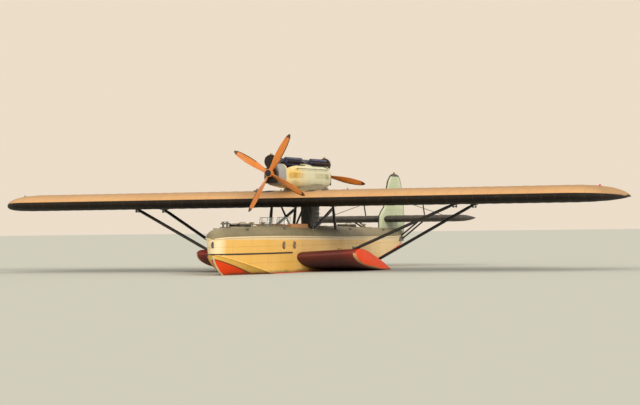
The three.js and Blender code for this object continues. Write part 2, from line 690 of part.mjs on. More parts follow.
function propeller(hubY, count, firstAngle) {
  const parts = [rod(at(0, -95, 0), at(0, 95, 0), 135, 24)];
  for (let i = 0; i < count; i += 1) {
    parts.push(blade(THREE.MathUtils.degToRad(firstAngle + (360 * i) / count)));
  }
  const whole = joined(...parts);
  return surface(whole).translate(0, hubY, SHAFT_Z);
}
piece('front_propeller', propeller(FRONT_HUB_Y - 48, 4, 31), WOOD);
piece('rear_propeller', propeller(REAR_HUB_Y + 48, 2, 102), WOOD);

// Tail
const TAIL_THICKNESS = 260;
function tailRing(x, swell = 0) {
  const outside = Math.max(0, Math.abs(x) - (TAIL_HALF_SPAN - 500)) / 500;
  const share = Math.sqrt(Math.max(0.03, 1 - outside ** 2.2));
  const chord = TAIL_CHORD * share;
  const noseY = TAIL_MIDDLE_Y - TAIL_CHORD / 2 + (TAIL_CHORD - chord) * 0.6;
  return aerofoil(chord, TAIL_THICKNESS * share, 0, 8, 10, swell)
    .map(([along, up]) => at(x, noseY + along, TAIL_Z + up));
}
const tailStations = [0, 500, 300, 130, 0].map((inset, i) => (i === 0 ? 0 : TAIL_HALF_SPAN - inset));
const tailRow = [...tailStations.slice(1).reverse().map((x) => -x), ...tailStations];
const tailBlank = solid(loft(tailRow.map((x) => tailRing(x))));
const tailKeepOut = solid(loft(tailRow.map((x) => tailRing(x, GAP))));
const ELEVATOR_NOSE = 88;
const ELEVATOR_INNER = 500;
const behind = ELEVATOR_HINGE_Y - ELEVATOR_NOSE - 2 * CLEARANCE;
const FIN_HALF = 70;
const RUDDER_HALF = 54;
const RUDDER_FOOT_Z = 800;
const RUDDER_HEAD_Z = 3470;

// Fin and rudder outlines in the plane of symmetry, as [y, z]
const FIN_OUTLINE = [
  [7180, 1300], [7200, 1860], [7760, 2200], [8080, 2950], [8330, 3300], [8700, 3455], [STERN_Y, 3477],
  [STERN_Y, 1300],
];
const RUDDER_OUTLINE = [
  [RUDDER_HINGE_Y, RUDDER_FOOT_Z], [9480, 830], [9800, 1100], [9930, 1600], [9880, 2200], [9700, 2900],
  [9560, 3200], [9330, 3400], [RUDDER_HINGE_Y, RUDDER_HEAD_Z],
];
function slab(outline, half) {
  const shape = new THREE.Shape(outline.map(([y, z]) => new THREE.Vector2(y, z)));
  const geometry = new THREE.ExtrudeGeometry(shape, { depth: 2 * half, bevelEnabled: false });
  return geometry.rotateX(Math.PI / 2).rotateZ(Math.PI / 2).translate(-half, 0, 0);
}
let tailplane = tailBlank.subtract(solid(box(at(0, behind + 1000, TAIL_Z), 8000, 2000, 1000)));
// The elevators' torque tube passes through the fin
const TORQUE_TUBE_RADIUS = 40;
const hingeAt = (x) => at(x, ELEVATOR_HINGE_Y, TAIL_Z);
const torqueHole = solid(rod(hingeAt(-600), hingeAt(600), TORQUE_TUBE_RADIUS + CLEARANCE, 16));
const fin = onDeck(solid(slab(FIN_OUTLINE, FIN_HALF)).subtract(torqueHole));
tailplane = tailplane.subtract(solid(box(at(0, TAIL_MIDDLE_Y, TAIL_Z), 2 * (FIN_HALF + GAP), 4000, 1000)));
const halves = tailplane.decompose();
halves.forEach((half) => {
  const middle = half.boundingBox();
  const name = middle.max[0] > 1000 ? 'port' : 'stbd';
  piece(`tailplane_${name}`, surface(half), STRUT_BLACK);
});
piece('fin', surface(fin), FIN_GREEN);
const rudderPost = [RUDDER_FOOT_Z, RUDDER_HEAD_Z].map((z) => at(0, RUDDER_HINGE_Y, z));
const rudderNose = rod(...rudderPost, RUDDER_HALF + 1, 20);
piece('rudder', surface(joined(slab(RUDDER_OUTLINE, RUDDER_HALF), rudderNose)), FIN_GREEN);

// Balance planes: a small aerofoil carried on a post above each elevator
const BALANCE = { x: 1200, half: 450, chord: 380, thick: 60, noseY: 8570, z: 2440 };
function balancePlane(name, side) {
  const x = side * BALANCE.x;
  const post = strut(at(x, 8990, TAIL_Z + 60), at(x, 8760, BALANCE.z - 20), 90, 40);
  const plane = loft([-BALANCE.half, BALANCE.half].map((reach) => (
    aerofoil(BALANCE.chord, BALANCE.thick, 0, 6, 8)
      .map(([along, up]) => at(x + reach, BALANCE.noseY + along, BALANCE.z + up))
  )));
  piece(`balance_plane_${name}`, surface(joined(post, plane).subtract(tailKeepOut)), STRUT_BLACK);
}

// Tail struts: two bars on one shoe on the hull side
// columns: foot y, foot z, head y
const TAIL_BARS = [[8250, 1080, 8000], [8450, 980, 8520]];
const TAIL_BAR_FOOT_X = 455;
const TAIL_BAR_HEAD_X = 1300;
function tailStruts(name, side) {
  const bars = TAIL_BARS.map(([footY, footZ, headY]) => (
    strut(at(side * TAIL_BAR_FOOT_X, footY, footZ), at(side * TAIL_BAR_HEAD_X, headY, TAIL_Z - 100), 90, 56)
  ));
  const shoe = box(at(side * (TAIL_BAR_FOOT_X + 15), 8350, 1000), 80, 420, 180);
  const fitted = onDeck(joined(...bars, shoe)).subtract(tailKeepOut).subtract(hullKeepOut);
  piece(`tail_struts_${name}`, surface(fitted), STRUT_BLACK);
}

const ELEVATOR_NOSE_END = TAIL_HALF_SPAN - 420;
sides.forEach(([name, side]) => {
  const cutMiddle = at(side * (ELEVATOR_INNER + 2000), ELEVATOR_HINGE_Y + 1000, TAIL_Z);
  const flap = tailBlank.intersect(solid(box(cutMiddle, 4000, 2000, 1000)));
  const noseEnds = [ELEVATOR_INNER, ELEVATOR_NOSE_END].map((x) => hingeAt(side * x));
  const nose = solid(rod(...noseEnds, ELEVATOR_NOSE, 20));
  let elevator = flap.add(nose);
  if (side === 1) {
    const tube = rod(hingeAt(ELEVATOR_INNER + 50), hingeAt(GAP - ELEVATOR_INNER), TORQUE_TUBE_RADIUS, 16);
    elevator = elevator.add(solid(tube));
  }
  piece(`elevator_${name}`, surface(elevator), STRUT_BLACK);
  balancePlane(name, side);
  tailStruts(name, side);
});

export default flyingBoat;
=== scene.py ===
# %% [markdown]
# Flying boat, dressed.
# The boat is a real metal aircraft: a stepped hull that carries stub wings at the waterline, a broad wing on
# struts above it, and two engines in line on top, one pulling and one pushing.
# The frame holds every solid at its real place and size, in metres, with the nose along -Y, the port side at
# +X and the water at z = 0. This lesson gives each solid its finish and its finer forms.

# %% Load the frame
from math import atan2, copysign, cos, pi, radians, sin
from types import SimpleNamespace

import bmesh
import bpy
import numpy as np
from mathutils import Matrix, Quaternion, Vector


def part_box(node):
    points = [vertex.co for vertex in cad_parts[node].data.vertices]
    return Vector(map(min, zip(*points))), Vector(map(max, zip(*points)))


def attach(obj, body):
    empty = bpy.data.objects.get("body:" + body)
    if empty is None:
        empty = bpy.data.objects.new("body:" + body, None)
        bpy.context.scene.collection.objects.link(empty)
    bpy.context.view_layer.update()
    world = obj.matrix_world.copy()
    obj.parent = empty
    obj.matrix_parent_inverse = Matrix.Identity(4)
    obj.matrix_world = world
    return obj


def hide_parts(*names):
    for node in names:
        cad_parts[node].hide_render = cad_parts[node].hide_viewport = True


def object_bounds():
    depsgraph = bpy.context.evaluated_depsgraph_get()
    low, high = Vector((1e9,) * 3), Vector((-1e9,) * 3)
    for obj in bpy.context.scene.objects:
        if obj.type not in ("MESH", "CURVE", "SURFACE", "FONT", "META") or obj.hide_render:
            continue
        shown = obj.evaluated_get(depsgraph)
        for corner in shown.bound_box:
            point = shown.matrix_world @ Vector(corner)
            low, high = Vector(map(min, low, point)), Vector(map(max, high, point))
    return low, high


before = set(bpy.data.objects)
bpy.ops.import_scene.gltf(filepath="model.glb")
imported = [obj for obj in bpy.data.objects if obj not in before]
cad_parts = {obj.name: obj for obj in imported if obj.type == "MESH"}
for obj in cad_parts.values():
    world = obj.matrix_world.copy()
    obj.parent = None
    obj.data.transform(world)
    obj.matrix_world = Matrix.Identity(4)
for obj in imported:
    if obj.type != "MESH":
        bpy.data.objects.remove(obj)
cad_low, cad_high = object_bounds()
print("frame from", tuple(round(v, 3) for v in cad_low), "to", tuple(round(v, 3) for v in cad_high))

# %% [markdown]
# The camera stood far off on the water, a little above it, on the port bow. Its place, turn and focal length
# come from fitting the span, the hull and the propeller's hub to the picture. The aim is turned a little
# instead of shifting the lens, which keeps every other view whole.

# %% Camera
CAMERA_PLACE = Vector((26.718, -63.290, 1.427))
CAMERA_YAW = radians(22.887)
CAMERA_ROLL = radians(0.68)
FOCAL_PIXELS = 2008.8
AIM_RIGHT_PIXELS = 16.1
AIM_UP_PIXELS = 25.9
PHOTO_WIDTH_PIXELS = 640
SENSOR_WIDTH = 36.0

ahead = Vector((-sin(CAMERA_YAW), cos(CAMERA_YAW), 0))
right = Vector((cos(CAMERA_YAW), sin(CAMERA_YAW), 0))
aim = ahead * FOCAL_PIXELS + right * AIM_RIGHT_PIXELS + Vector((0, 0, AIM_UP_PIXELS))
camera = bpy.data.objects.new("camera", bpy.data.cameras.new("camera"))
camera.data.sensor_width = SENSOR_WIDTH
camera.data.lens = SENSOR_WIDTH * aim.length / PHOTO_WIDTH_PIXELS
camera.data.clip_end = 1000
camera.location = CAMERA_PLACE
camera.rotation_mode = "QUATERNION"
camera.rotation_quaternion = aim.to_track_quat("-Z", "Y") @ Quaternion((0, 0, 1), -CAMERA_ROLL)
bpy.context.scene.collection.objects.link(camera)
bpy.context.scene.camera = camera
print("lens", round(camera.data.lens, 2), "mm")

# %% [markdown]
# A boat afloat is lit by a wide, low evening sky. A pale room and suns as broad as a cloudy sky give the
# same softness: a warm key on the port bow, weak fills and a pale top light, so that no side is black.

# %% Light and floor
AIM_HEIGHT = 1.5
ROOM_COLOUR = (0.86, 0.74, 0.6, 1)
ROOM_STRENGTH = 0.98
# columns: name, place, breadth of the sun in degrees, strength, colour
LAMPS = [
    ("key", (40, -34, 24), 24, 2.1, (1.0, 0.94, 0.86)),
    ("bow_fill", (-18, -42, 20), 50, 0.35, (0.95, 0.97, 1.0)),
    ("quarter", (26, 36, 22), 50, 0.45, (0.9, 0.95, 1.0)),
    ("far_quarter", (-34, 26, 18), 50, 0.3, (1.0, 0.94, 0.86)),
    ("top", (0, 4, 34), 60, 0.25, (1.0, 0.98, 0.95)),
]


def add_lamp(name, place, breadth, strength, colour):
    """A wide, soft sun that shines from a place towards the middle of the boat."""
    lamp = bpy.data.objects.new(name, bpy.data.lights.new(name, "SUN"))
    lamp.data.angle = radians(breadth)
    lamp.data.energy = strength
    lamp.data.color = colour
    lamp.location = place
    lamp.rotation_mode = "QUATERNION"
    lamp.rotation_quaternion = (Vector((0, 0, AIM_HEIGHT)) - Vector(place)).to_track_quat("-Z", "Y")
    bpy.context.scene.collection.objects.link(lamp)


for lamp_row in LAMPS:
    add_lamp(*lamp_row)
world = bpy.data.worlds.new("room")
world.use_nodes = True
world.node_tree.nodes["Background"].inputs["Color"].default_value = ROOM_COLOUR
world.node_tree.nodes["Background"].inputs["Strength"].default_value = ROOM_STRENGTH
bpy.context.scene.world = world
bpy.context.scene.view_settings.view_transform = "Standard"
print(len(LAMPS), "lamps")

# %% [markdown]
# Shader maths is easier to read as Python. A Value wraps one socket of a material, and its operators add the
# Math nodes, so that `1 - mask * 0.3` is a number that varies over the surface. A Paint is the material that
# the nodes belong to.

# %% Shader maths as expressions


class Value:
    """One socket of a paint. Its operators add Math nodes."""

    def __init__(self, paint, socket):
        self.paint = paint
        self.socket = socket

    def maths(self, operation, *inputs, clamp=False):
        return self.paint.node("ShaderNodeMath", "Value", dict(enumerate(inputs)),
                               operation=operation, use_clamp=clamp)

    def __add__(self, other):
        return self.maths("ADD", self, other)

    def __sub__(self, other):
        return self.maths("SUBTRACT", self, other)

    def __rsub__(self, other):
        return self.maths("SUBTRACT", other, self)

    def __mul__(self, other):
        return self.maths("MULTIPLY", self, other)

    def __truediv__(self, other):
        return self.maths("DIVIDE", self, other)

    def __pow__(self, other):
        return self.maths("POWER", self, other)

    __radd__ = __add__
    __rmul__ = __mul__

    def absolute(self):
        return self.maths("ABSOLUTE", self)

    def clamped(self):
        return self.maths("ADD", self, 0.0, clamp=True)

    def to_line(self, pitch):
        """Distance to the nearest of the lines that repeat at this pitch."""
        return self.maths("PINGPONG", self, pitch / 2)

    def within(self, width):
        """1 where the value is 0, falling evenly to 0 at this width."""
        return (1 - self.absolute() / width).clamped()


class Paint:
    """A material whose nodes are added by expressions."""

    def __init__(self, name, colour, roughness, metallic=0.0, **fixed):
        self.material = bpy.data.materials.new(name)
        self.material.use_nodes = True
        self.tree = self.material.node_tree
        self.shader = self.tree.nodes["Principled BSDF"]
        self.colour = colour
        self.roughness = roughness
        self.height = 0.0
        self.shader.inputs["Metallic"].default_value = metallic
        for socket, value in fixed.items():
            self.shader.inputs[socket].default_value = value
        self.place = self.node("ShaderNodeTexCoord", "Object")
        self.x, self.y, self.z = (
            self.node("ShaderNodeSeparateXYZ", axis, {0: self.place}) for axis in "XYZ"
        )

    def feed(self, socket, value):
        """Links a value to a socket, or sets a number or a colour on it."""
        if isinstance(value, Value):
            self.tree.links.new(value.socket, socket)
        elif isinstance(value, tuple) and len(value) == 3 and len(socket.default_value) == 4:
            socket.default_value = (*value, 1.0)
        else:
            socket.default_value = value

    def node(self, kind, output, inputs=(), **settings):
        """Adds one node: its settings first, then the values or links of its sockets."""
        made = self.tree.nodes.new(kind)
        for name, value in settings.items():
            setattr(made, name, value)
        for key, value in dict(inputs).items():
            self.feed(made.inputs[key], value)
        return Value(self, made.outputs[output])

    def noise(self, scale, detail=3.0, stretch=None):
        """Soft random patches, about 1 / scale metres across, longer along an axis that stretch divides."""
        where = self.place
        if stretch:
            where = self.node("ShaderNodeVectorMath", "Vector", {0: where, 1: stretch}, operation="MULTIPLY")
        return self.node("ShaderNodeTexNoise", "Fac", {"Vector": where, "Scale": scale, "Detail": detail})

    def over(self, share, colour):
        """Lays a colour over the one so far, by a share."""
        mixer = self.tree.nodes.new("ShaderNodeMix")
        mixer.data_type = "RGBA"
        sockets = {socket.identifier: socket for socket in (*mixer.inputs, *mixer.outputs)}
        self.feed(sockets["Factor_Float"], share)
        self.feed(sockets["A_Color"], self.colour)
        self.feed(sockets["B_Color"], colour)
        self.colour = Value(self, sockets["Result_Color"])

    def done(self, depth=0.004):
        """Links colour, roughness and relief to the shader, and gives the material."""
        self.feed(self.shader.inputs["Base Color"], self.colour)
        self.feed(self.shader.inputs["Roughness"], self.roughness)
        if isinstance(self.height, Value):
            bump = self.node("ShaderNodeBump", "Normal", {"Height": self.height, "Distance": depth})
            self.feed(self.shader.inputs["Normal"], bump)
        return self.material


print("maths on a Value:", [name for name in vars(Value) if not name.startswith("_")])

# %% [markdown]
# New pieces are worked out as whole arrays. A form is a pair: an array of points, and a list of face arrays
# whose rows are point numbers. A loft carries a ring from station to station, a tube carries a circle along
# a path, and a form that repeats is copied by adding its places to it.

# %% Forms
ORIGIN = (0, 0, 0)


def unit(vectors):
    """Vectors of length one in the same directions."""
    return vectors / np.linalg.norm(vectors, axis=-1, keepdims=True)


def full_turn(count):
    """That many even angles all round."""
    return np.linspace(0, 2 * pi, count, endpoint=False)


def points_at(x, y, z):
    """Points as one array from their coordinates, which may be arrays that broadcast."""
    return np.stack(np.broadcast_arrays(x, y, z), -1)


def outward(form):
    """The form with its faces outwards: the sum of a . (b x c) over its triangles has to be positive."""
    points, faces = form
    volume = 0.0
    for block in faces:
        corners = points[block]
        for i in range(1, block.shape[1] - 1):
            volume += np.sum(corners[:, 0] * np.cross(corners[:, i], corners[:, i + 1]))
    return form if volume > 0 else (points, [block[:, ::-1] for block in faces])


def loft(rings):
    """A closed skin through rings, an array of (stations, points in a ring, 3), with both ends capped."""
    rings = np.asarray(rings, float)
    rows, columns = rings.shape[:2]
    row, column = np.meshgrid(np.arange(rows - 1), np.arange(columns), indexing="ij")
    first = row * columns + column
    second = row * columns + (column + 1) % columns
    walls = np.stack([first, second, second + columns, first + columns], -1).reshape(-1, 4)
    start = np.arange(columns)[None, ::-1]
    end = start[:, ::-1] + (rows - 1) * columns
    return outward((rings.reshape(-1, 3), [walls, start, end]))


def closed_loop(rings):
    """A skin through rings whose last one joins the first."""
    rows, columns = rings.shape[:2]
    row, column = np.arange(rows)[:, None], np.arange(columns)[None]
    next_row, next_column = (row + 1) % rows, (column + 1) % columns
    quads = np.stack(np.broadcast_arrays(
        row * columns + column, next_row * columns + column,
        next_row * columns + next_column, row * columns + next_column), -1)
    return outward((rings.reshape(-1, 3), [quads.reshape(-1, 4)]))


def tube(path, radius, sides=12, fore=None):
    """A round section along a path, squared up to the axis that the path runs along least.
    With fore the section is an oval, that many radii deep along the Y axis."""
    path = np.asarray(path, float)
    along = unit(np.gradient(path, axis=0))
    guide = np.eye(3)[1 if fore else np.abs(along).max(0).argmin()]
    across = unit(np.cross(along, guide))
    deep = np.cross(across, along)
    angle = full_turn(sides)[None, :, None]
    size = np.broadcast_to(np.asarray(radius, float), len(path))[:, None, None]
    ring = np.cos(angle) * across[:, None] + (fore or 1) * np.sin(angle) * deep[:, None]
    return loft(path[:, None] + size * ring)


def turned(profile, sides=24, axis="z", centre=ORIGIN):
    """A profile of (radius, height) turned about an axis through the centre."""
    profile = np.asarray(profile, float)
    angle = full_turn(sides)
    radius = np.maximum(profile[:, :1], 1e-4)
    height = np.broadcast_to(profile[:, 1:], (len(profile), sides))
    parts = {"x": (height, radius * np.cos(angle), radius * np.sin(angle)),
             "y": (radius * np.sin(angle), height, radius * np.cos(angle)),
             "z": (radius * np.cos(angle), radius * np.sin(angle), height)}
    return loft(np.stack(parts[axis], -1) + np.asarray(centre, float))


def cuboid(middle, size):
    """A box as a loft of two rectangles."""
    corners = np.array([[-1, -1], [1, -1], [1, 1], [-1, 1]]) / 2
    rings = np.array([[[x, y, z] for x, y in corners] for z in (-0.5, 0.5)])
    return loft(rings * np.asarray(size, float) + np.asarray(middle, float))


def together(*forms):
    """Several forms as one, with the point numbers of each moved up past those before it."""
    points, faces, count = [], [], 0
    for some_points, some_faces in forms:
        points.append(some_points)
        faces += [block + count for block in some_faces]
        count += len(some_points)
    return np.concatenate(points), faces


def repeated(form, places):
    """The form at each of these places."""
    points, faces = form
    places = np.asarray(places, float).reshape(-1, 3)
    shift = (np.arange(len(places)) * len(points))[:, None, None]
    return ((points[None] + places[:, None]).reshape(-1, 3),
            [(block[None] + shift).reshape(-1, block.shape[1]) for block in faces])


def both_sides(form):
    """The form and its mirror image across the middle plane, with its faces still outwards."""
    points, faces = form
    return together(form, (points * (-1, 1, 1), [block[:, ::-1] for block in faces]))


def spun(form, angle, axis="y"):
    """The form turned by an angle about an axis through the origin: x and z, y and z or x and y go round."""
    points, faces = form
    first, second = {"y": (2, 0), "x": (1, 2), "z": (0, 1)}[axis]
    out = points.copy()
    out[:, first] = points[:, first] * cos(angle) - points[:, second] * sin(angle)
    out[:, second] = points[:, first] * sin(angle) + points[:, second] * cos(angle)
    return out, faces


print("a tube of 5 rings has", len(tube(np.eye(3)[[2] * 5] * np.arange(5)[:, None], 0.1)[0]), "points")

# %% [markdown]
# A finished piece has its place in its points. Smooth shading with sharp edges past an angle keeps curved
# skins round and folded edges crisp. A solid that is already right in the frame is copied, its loose
# triangles merged and its flat faces joined, and then its edges are rounded a little.

# %% Pieces
SHARP_ANGLE = radians(32)
FLAT_ANGLE = radians(0.5)
MERGE_DISTANCE = 1e-5
SIDES = [("port", 1), ("stbd", -1)]


def finish_piece(piece, slot, paints, body="airframe", bevel=0.0, stands_for=()):
    """Shades, paints and bevels a mesh object, and says what it rides on and stands for."""
    for paint in paints if isinstance(paints, list) else [paints]:
        piece.data.materials.append(paint)
    piece.data.shade_smooth()
    piece.data.set_sharp_from_angle(angle=SHARP_ANGLE)
    if bevel:
        rounding = piece.modifiers.new("edges", "BEVEL")
        rounding.width = bevel
        rounding.segments = 2
        rounding.limit_method = "ANGLE"
        rounding.angle_limit = SHARP_ANGLE
        rounding.harden_normals = True
    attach(piece, body)
    if stands_for:
        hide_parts(*stands_for)
    return piece


def link_mesh(name, mesh):
    """An object for a mesh, in the scene."""
    piece = bpy.data.objects.new(name, mesh)
    bpy.context.scene.collection.objects.link(piece)
    return piece


def make_mesh(name, form):
    """A mesh object from a form."""
    points, faces = form
    mesh = bpy.data.meshes.new(name)
    mesh.from_pydata(points.tolist(), [], [row for block in faces for row in block.tolist()])
    return link_mesh(name, mesh)


def make(name, form, slot, paints, **finish):
    """A piece from a form."""
    return finish_piece(make_mesh(name, form), slot, paints, **finish)


def paint_where(piece, index, test):
    """Gives the faces that pass a test of their centres and normals another of the piece's paints."""
    polygons = piece.data.polygons
    centre = np.empty(len(polygons) * 3)
    normal = np.empty(len(polygons) * 3)
    chosen = np.empty(len(polygons), int)
    polygons.foreach_get("center", centre)
    polygons.foreach_get("normal", normal)
    polygons.foreach_get("material_index", chosen)
    chosen[test(centre.reshape(-1, 3), normal.reshape(-1, 3))] = index
    polygons.foreach_set("material_index", chosen)


def apply_modifiers(piece):
    """Keeps what the piece's modifiers make as its mesh."""
    evaluated = piece.evaluated_get(bpy.context.evaluated_depsgraph_get())
    piece.data = bpy.data.meshes.new_from_object(evaluated)
    piece.modifiers.clear()


def cut(piece, *cutters):
    """Cuts forms out of a mesh object."""
    tools = []
    for i, form in enumerate(cutters):
        tool = make_mesh(f"cutter_{i}", form)
        modifier = piece.modifiers.new(tool.name, "BOOLEAN")
        modifier.object = tool
        modifier.operation = "DIFFERENCE"
        modifier.solver = "EXACT"
        tools.append(tool)
    apply_modifiers(piece)
    for tool in tools:
        bpy.data.objects.remove(tool)
    return piece


def dress(node, slot, paints, bevel=0.006, body="airframe"):
    """The node's own solid, with its points merged, its flat faces joined and its edges rounded."""
    piece = link_mesh(f"{node}_dressed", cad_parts[node].data.copy())
    piece.data.materials.clear()
    work = bmesh.new()
    work.from_mesh(piece.data)
    bmesh.ops.remove_doubles(work, verts=work.verts, dist=MERGE_DISTANCE)
    bmesh.ops.dissolve_limit(work, angle_limit=FLAT_ANGLE, verts=work.verts, edges=work.edges)
    work.to_mesh(piece.data)
    work.free()
    return finish_piece(piece, slot, paints, body, bevel, (node,))


def mesh_points(piece):
    """The points of a mesh object as an array."""
    points = np.empty(len(piece.data.vertices) * 3, np.float32)
    piece.data.vertices.foreach_get("co", points)
    return points.reshape(-1, 3).astype(float)


def solid_points(*nodes):
    """The points of some of the frame's solids as one array."""
    return np.concatenate([mesh_points(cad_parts[node]) for node in nodes])


print("solids in the frame", len(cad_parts))

# %% [markdown]
# Paint that has been at sea is never one colour. Each paint starts from two near tones that a soft noise
# mixes, with streaks where water runs. Plates meet in seams with a row of rivets on each side, worked out
# from the place.

# %% Paints for plates
RIVET_PITCH = 0.06
RIVET_RADIUS = 0.009
RIVET_INSET = 0.022
SEAM_WIDTH = 0.007
PLATE_LENGTH = 0.84


def tone(red, green, blue):
    """A display colour from 0 to 255 as the light that it stands for."""
    share = np.array([red, green, blue]) / 255
    return tuple(np.where(share <= 0.04045, share / 12.92, ((share + 0.055) / 1.055) ** 2.4).tolist())


def add_seams(paint, across, along, strength=1.0, pitch=PLATE_LENGTH):
    """Seams at a pitch across one direction, each with a rivet row on both sides.
    Height = rivets - seam, and a rivet is where the distances from the row and along it are both near 0."""
    off_seam = across.to_line(pitch)
    seam = off_seam.within(SEAM_WIDTH)
    off_row = (off_seam - RIVET_INSET).absolute()
    spacing = along.to_line(RIVET_PITCH)
    rivet = (1 - (off_row ** 2.0 + spacing ** 2.0) ** 0.5 / RIVET_RADIUS).clamped()
    paint.height = paint.height + (rivet - seam) * strength
    paint.over(seam * 0.45, tone(70, 58, 40))


def add_ribs(paint, along, pitch, width, share, colour):
    """Cloth drawn over ribs: a soft, slightly raised line in another colour at each."""
    rib = along.to_line(pitch).within(width)
    paint.over(rib * share, colour)
    paint.height = rib * 0.6
    return rib


def weather(paint, other, patch=0.7, streak=0.35, speckle=0.0):
    """Mixes in a second tone by soft patches and by streaks that run down the surface."""
    patches = paint.noise(patch, 4.0)
    streaks = paint.noise(3.2, 4.0, stretch=(1.0, 1.0, 0.12))
    share = ((patches - 0.35) * 1.6 + (streaks - 0.5) * streak * 2).clamped()
    paint.over(share, other)
    if speckle:
        grain = ((paint.noise(95.0, 2.0) - 0.5) * speckle * 4).clamped()
        paint.over(grain, tone(58, 54, 40))
    paint.roughness = paint.noise(2.5, 4.0) * 0.25 + paint.roughness


def waterline_stain(paint, top=0.13):
    """A dark, uneven tide mark just above the water."""
    edge = paint.noise(2.2, 5.0) * 0.16
    mark = ((edge + (top - 0.08) - paint.z) / 0.09).clamped()
    paint.over(mark * 0.75, tone(74, 66, 38))


# %% [markdown]
# The sides are yellow above the chine and red below it, but not at the bow: there the yellow comes down to a
# dark line that climbs towards the stem, and only what lies below the line is red.

# %% Hull paints
BOOT_TOP_Z = 0.035
EDGE_SOFTNESS = 0.008
# Height and fall of the cream painted highlight under the gunwale.
GUNWALE_HIGHLIGHT_Z = 1.03
GUNWALE_HIGHLIGHT_FALL = 0.0105
# Where the cream painted highlight on the rounded stem starts.
STEM_HIGHLIGHT_Y = -6.95
BOW_LINE_Y = -7.2
BOW_LINE_Z = 0.5
BOW_LINE_SLOPE = 0.28
BOW_LINE_WIDTH = 0.024
BOW_PAINT_END_Y = -1.0
WALKED_HALF = 0.42


def hull_paint():
    """Golden yellow sides, a red boot-top, and painted highlights: cream under the gunwale and on the stem,
    and paler aft.
    """
    paint = Paint("hull_yellow", tone(221, 173, 80), 0.36, **{"Coat Weight": 0.15})
    weather(paint, tone(228, 190, 116), patch=0.9)
    # Paler aft: a painted highlight, for light falling on the rear of the side.
    lit_aft_highlight = ((paint.y - 1.0) / 5.0).clamped()
    paint.over(lit_aft_highlight * 0.65, tone(234, 212, 168))
    # A cream painted highlight on the rounded stem.
    stem_highlight = ((STEM_HIGHLIGHT_Y - paint.y) / 0.22).clamped()
    paint.over(stem_highlight * 0.8, tone(238, 222, 184))
    # A cream painted highlight on the side's rounded top edge, under the gunwale.
    gunwale_highlight = (paint.z - (GUNWALE_HIGHLIGHT_Z - paint.y * GUNWALE_HIGHLIGHT_FALL)) / 0.02
    paint.over(gunwale_highlight.clamped(), tone(220, 200, 160))
    add_seams(paint, paint.y, paint.z)
    add_seams(paint, paint.z - 0.36, paint.y, 0.7, pitch=0.52)
    waterline_stain(paint)
    paint.over(((BOOT_TOP_Z - paint.z) / EDGE_SOFTNESS).clamped(), tone(190, 58, 22))
    return paint.done()


def bottom_paint(name, yellow_bow=False):
    """Orange-red bottom paint, rubbed thin in patches. On the hull it ends at the bow in the dark line, which
    climbs by a fixed slope."""
    paint = Paint(name, tone(238, 74, 14), 0.42, **{"Specular IOR Level": 0.3})
    weather(paint, tone(218, 58, 12), patch=1.3)
    rubbed = ((paint.noise(5.0, 6.0) - 0.62) * 6).clamped()
    paint.over(rubbed * 0.5, tone(240, 122, 62))
    if yellow_bow:
        above_line = paint.z - BOW_LINE_Z + (paint.y - BOW_LINE_Y) * BOW_LINE_SLOPE
        forward = ((BOW_PAINT_END_Y - paint.y) / EDGE_SOFTNESS).clamped()
        afloat = ((paint.z - BOOT_TOP_Z) / EDGE_SOFTNESS).clamped() * forward
        # This yellow is lighter than that of the sides: a painted highlight against the shade on these
        # downward bow faces.
        paint.over((above_line / EDGE_SOFTNESS).clamped() * afloat, tone(234, 190, 94))
        paint.over(above_line.within(BOW_LINE_WIDTH) * afloat, tone(44, 34, 26))
    add_seams(paint, paint.y, paint.x, 0.8)
    waterline_stain(paint, 0.1)
    return paint.done()


def deck_paint():
    """Grey-olive deck paint with grit in it, worn pale where feet go."""
    paint = Paint("deck_grey", tone(120, 112, 86), 0.55)
    weather(paint, tone(146, 134, 102), patch=1.1, speckle=0.55)
    walked = (paint.x.within(WALKED_HALF) * (paint.noise(1.6, 5.0) - 0.3) * 1.6).clamped()
    paint.over(walked * 0.6, tone(176, 168, 132))
    add_seams(paint, paint.y, paint.x)
    add_seams(paint, paint.x - 0.47, paint.y, 0.7, pitch=0.94)
    paint.height = paint.height + paint.noise(90.0, 2.0) * 0.35
    return paint.done()


def dark_paint():
    """Satin black on struts and fittings, rubbed to brown-grey on high places."""
    paint = Paint("strut_black", tone(28, 25, 21), 0.38)
    weather(paint, tone(48, 42, 34), patch=2.5, streak=0.5)
    paint.height = paint.noise(30.0, 3.0) * 0.2
    return paint.done()


def metal_paint(name, colour, other, roughness, patch=6.0, metallic=0.9):
    """Bare, blackened or enamelled metal with stains and fine scratches."""
    paint = Paint(name, colour, roughness, metallic)
    weather(paint, other, patch=patch, streak=0.4)
    paint.height = paint.noise(70.0, 4.0, stretch=(1.0, 0.15, 1.0)) * 0.15
    return paint.done(0.002)


def plated_paint(name, colour, other, roughness, patch, pitch, streak=0.35):
    """Weathered paint with a seam at each frame."""
    paint = Paint(name, colour, roughness)
    weather(paint, other, patch, streak)
    add_seams(paint, paint.y, paint.z, pitch=pitch)
    return paint.done()


HULL_YELLOW = hull_paint()
BOTTOM_RED = bottom_paint("bottom_red")
HULL_BOTTOM = bottom_paint("hull_bottom", yellow_bow=True)
DECK_GREY = deck_paint()
STRUT_BLACK = dark_paint()
STEEL = metal_paint("fitting_steel", tone(118, 116, 112), tone(82, 76, 68), 0.35)
BRASS = metal_paint("brass", tone(176, 138, 70), tone(112, 84, 44), 0.3)
CABIN_GREEN = plated_paint("cabin_green", tone(120, 128, 100), tone(96, 102, 80), 0.5, 2.0, 0.28)
print("paints", [paint.name for paint in bpy.data.materials])


def black(name, form, paint=STRUT_BLACK, **finish):
    """A black-painted piece."""
    return make(name, form, "dark_paint", paint, **finish)


def fitting(name, form, paint=STEEL, **finish):
    """A small metal piece."""
    return make(name, form, "fitting_metal", paint, **finish)


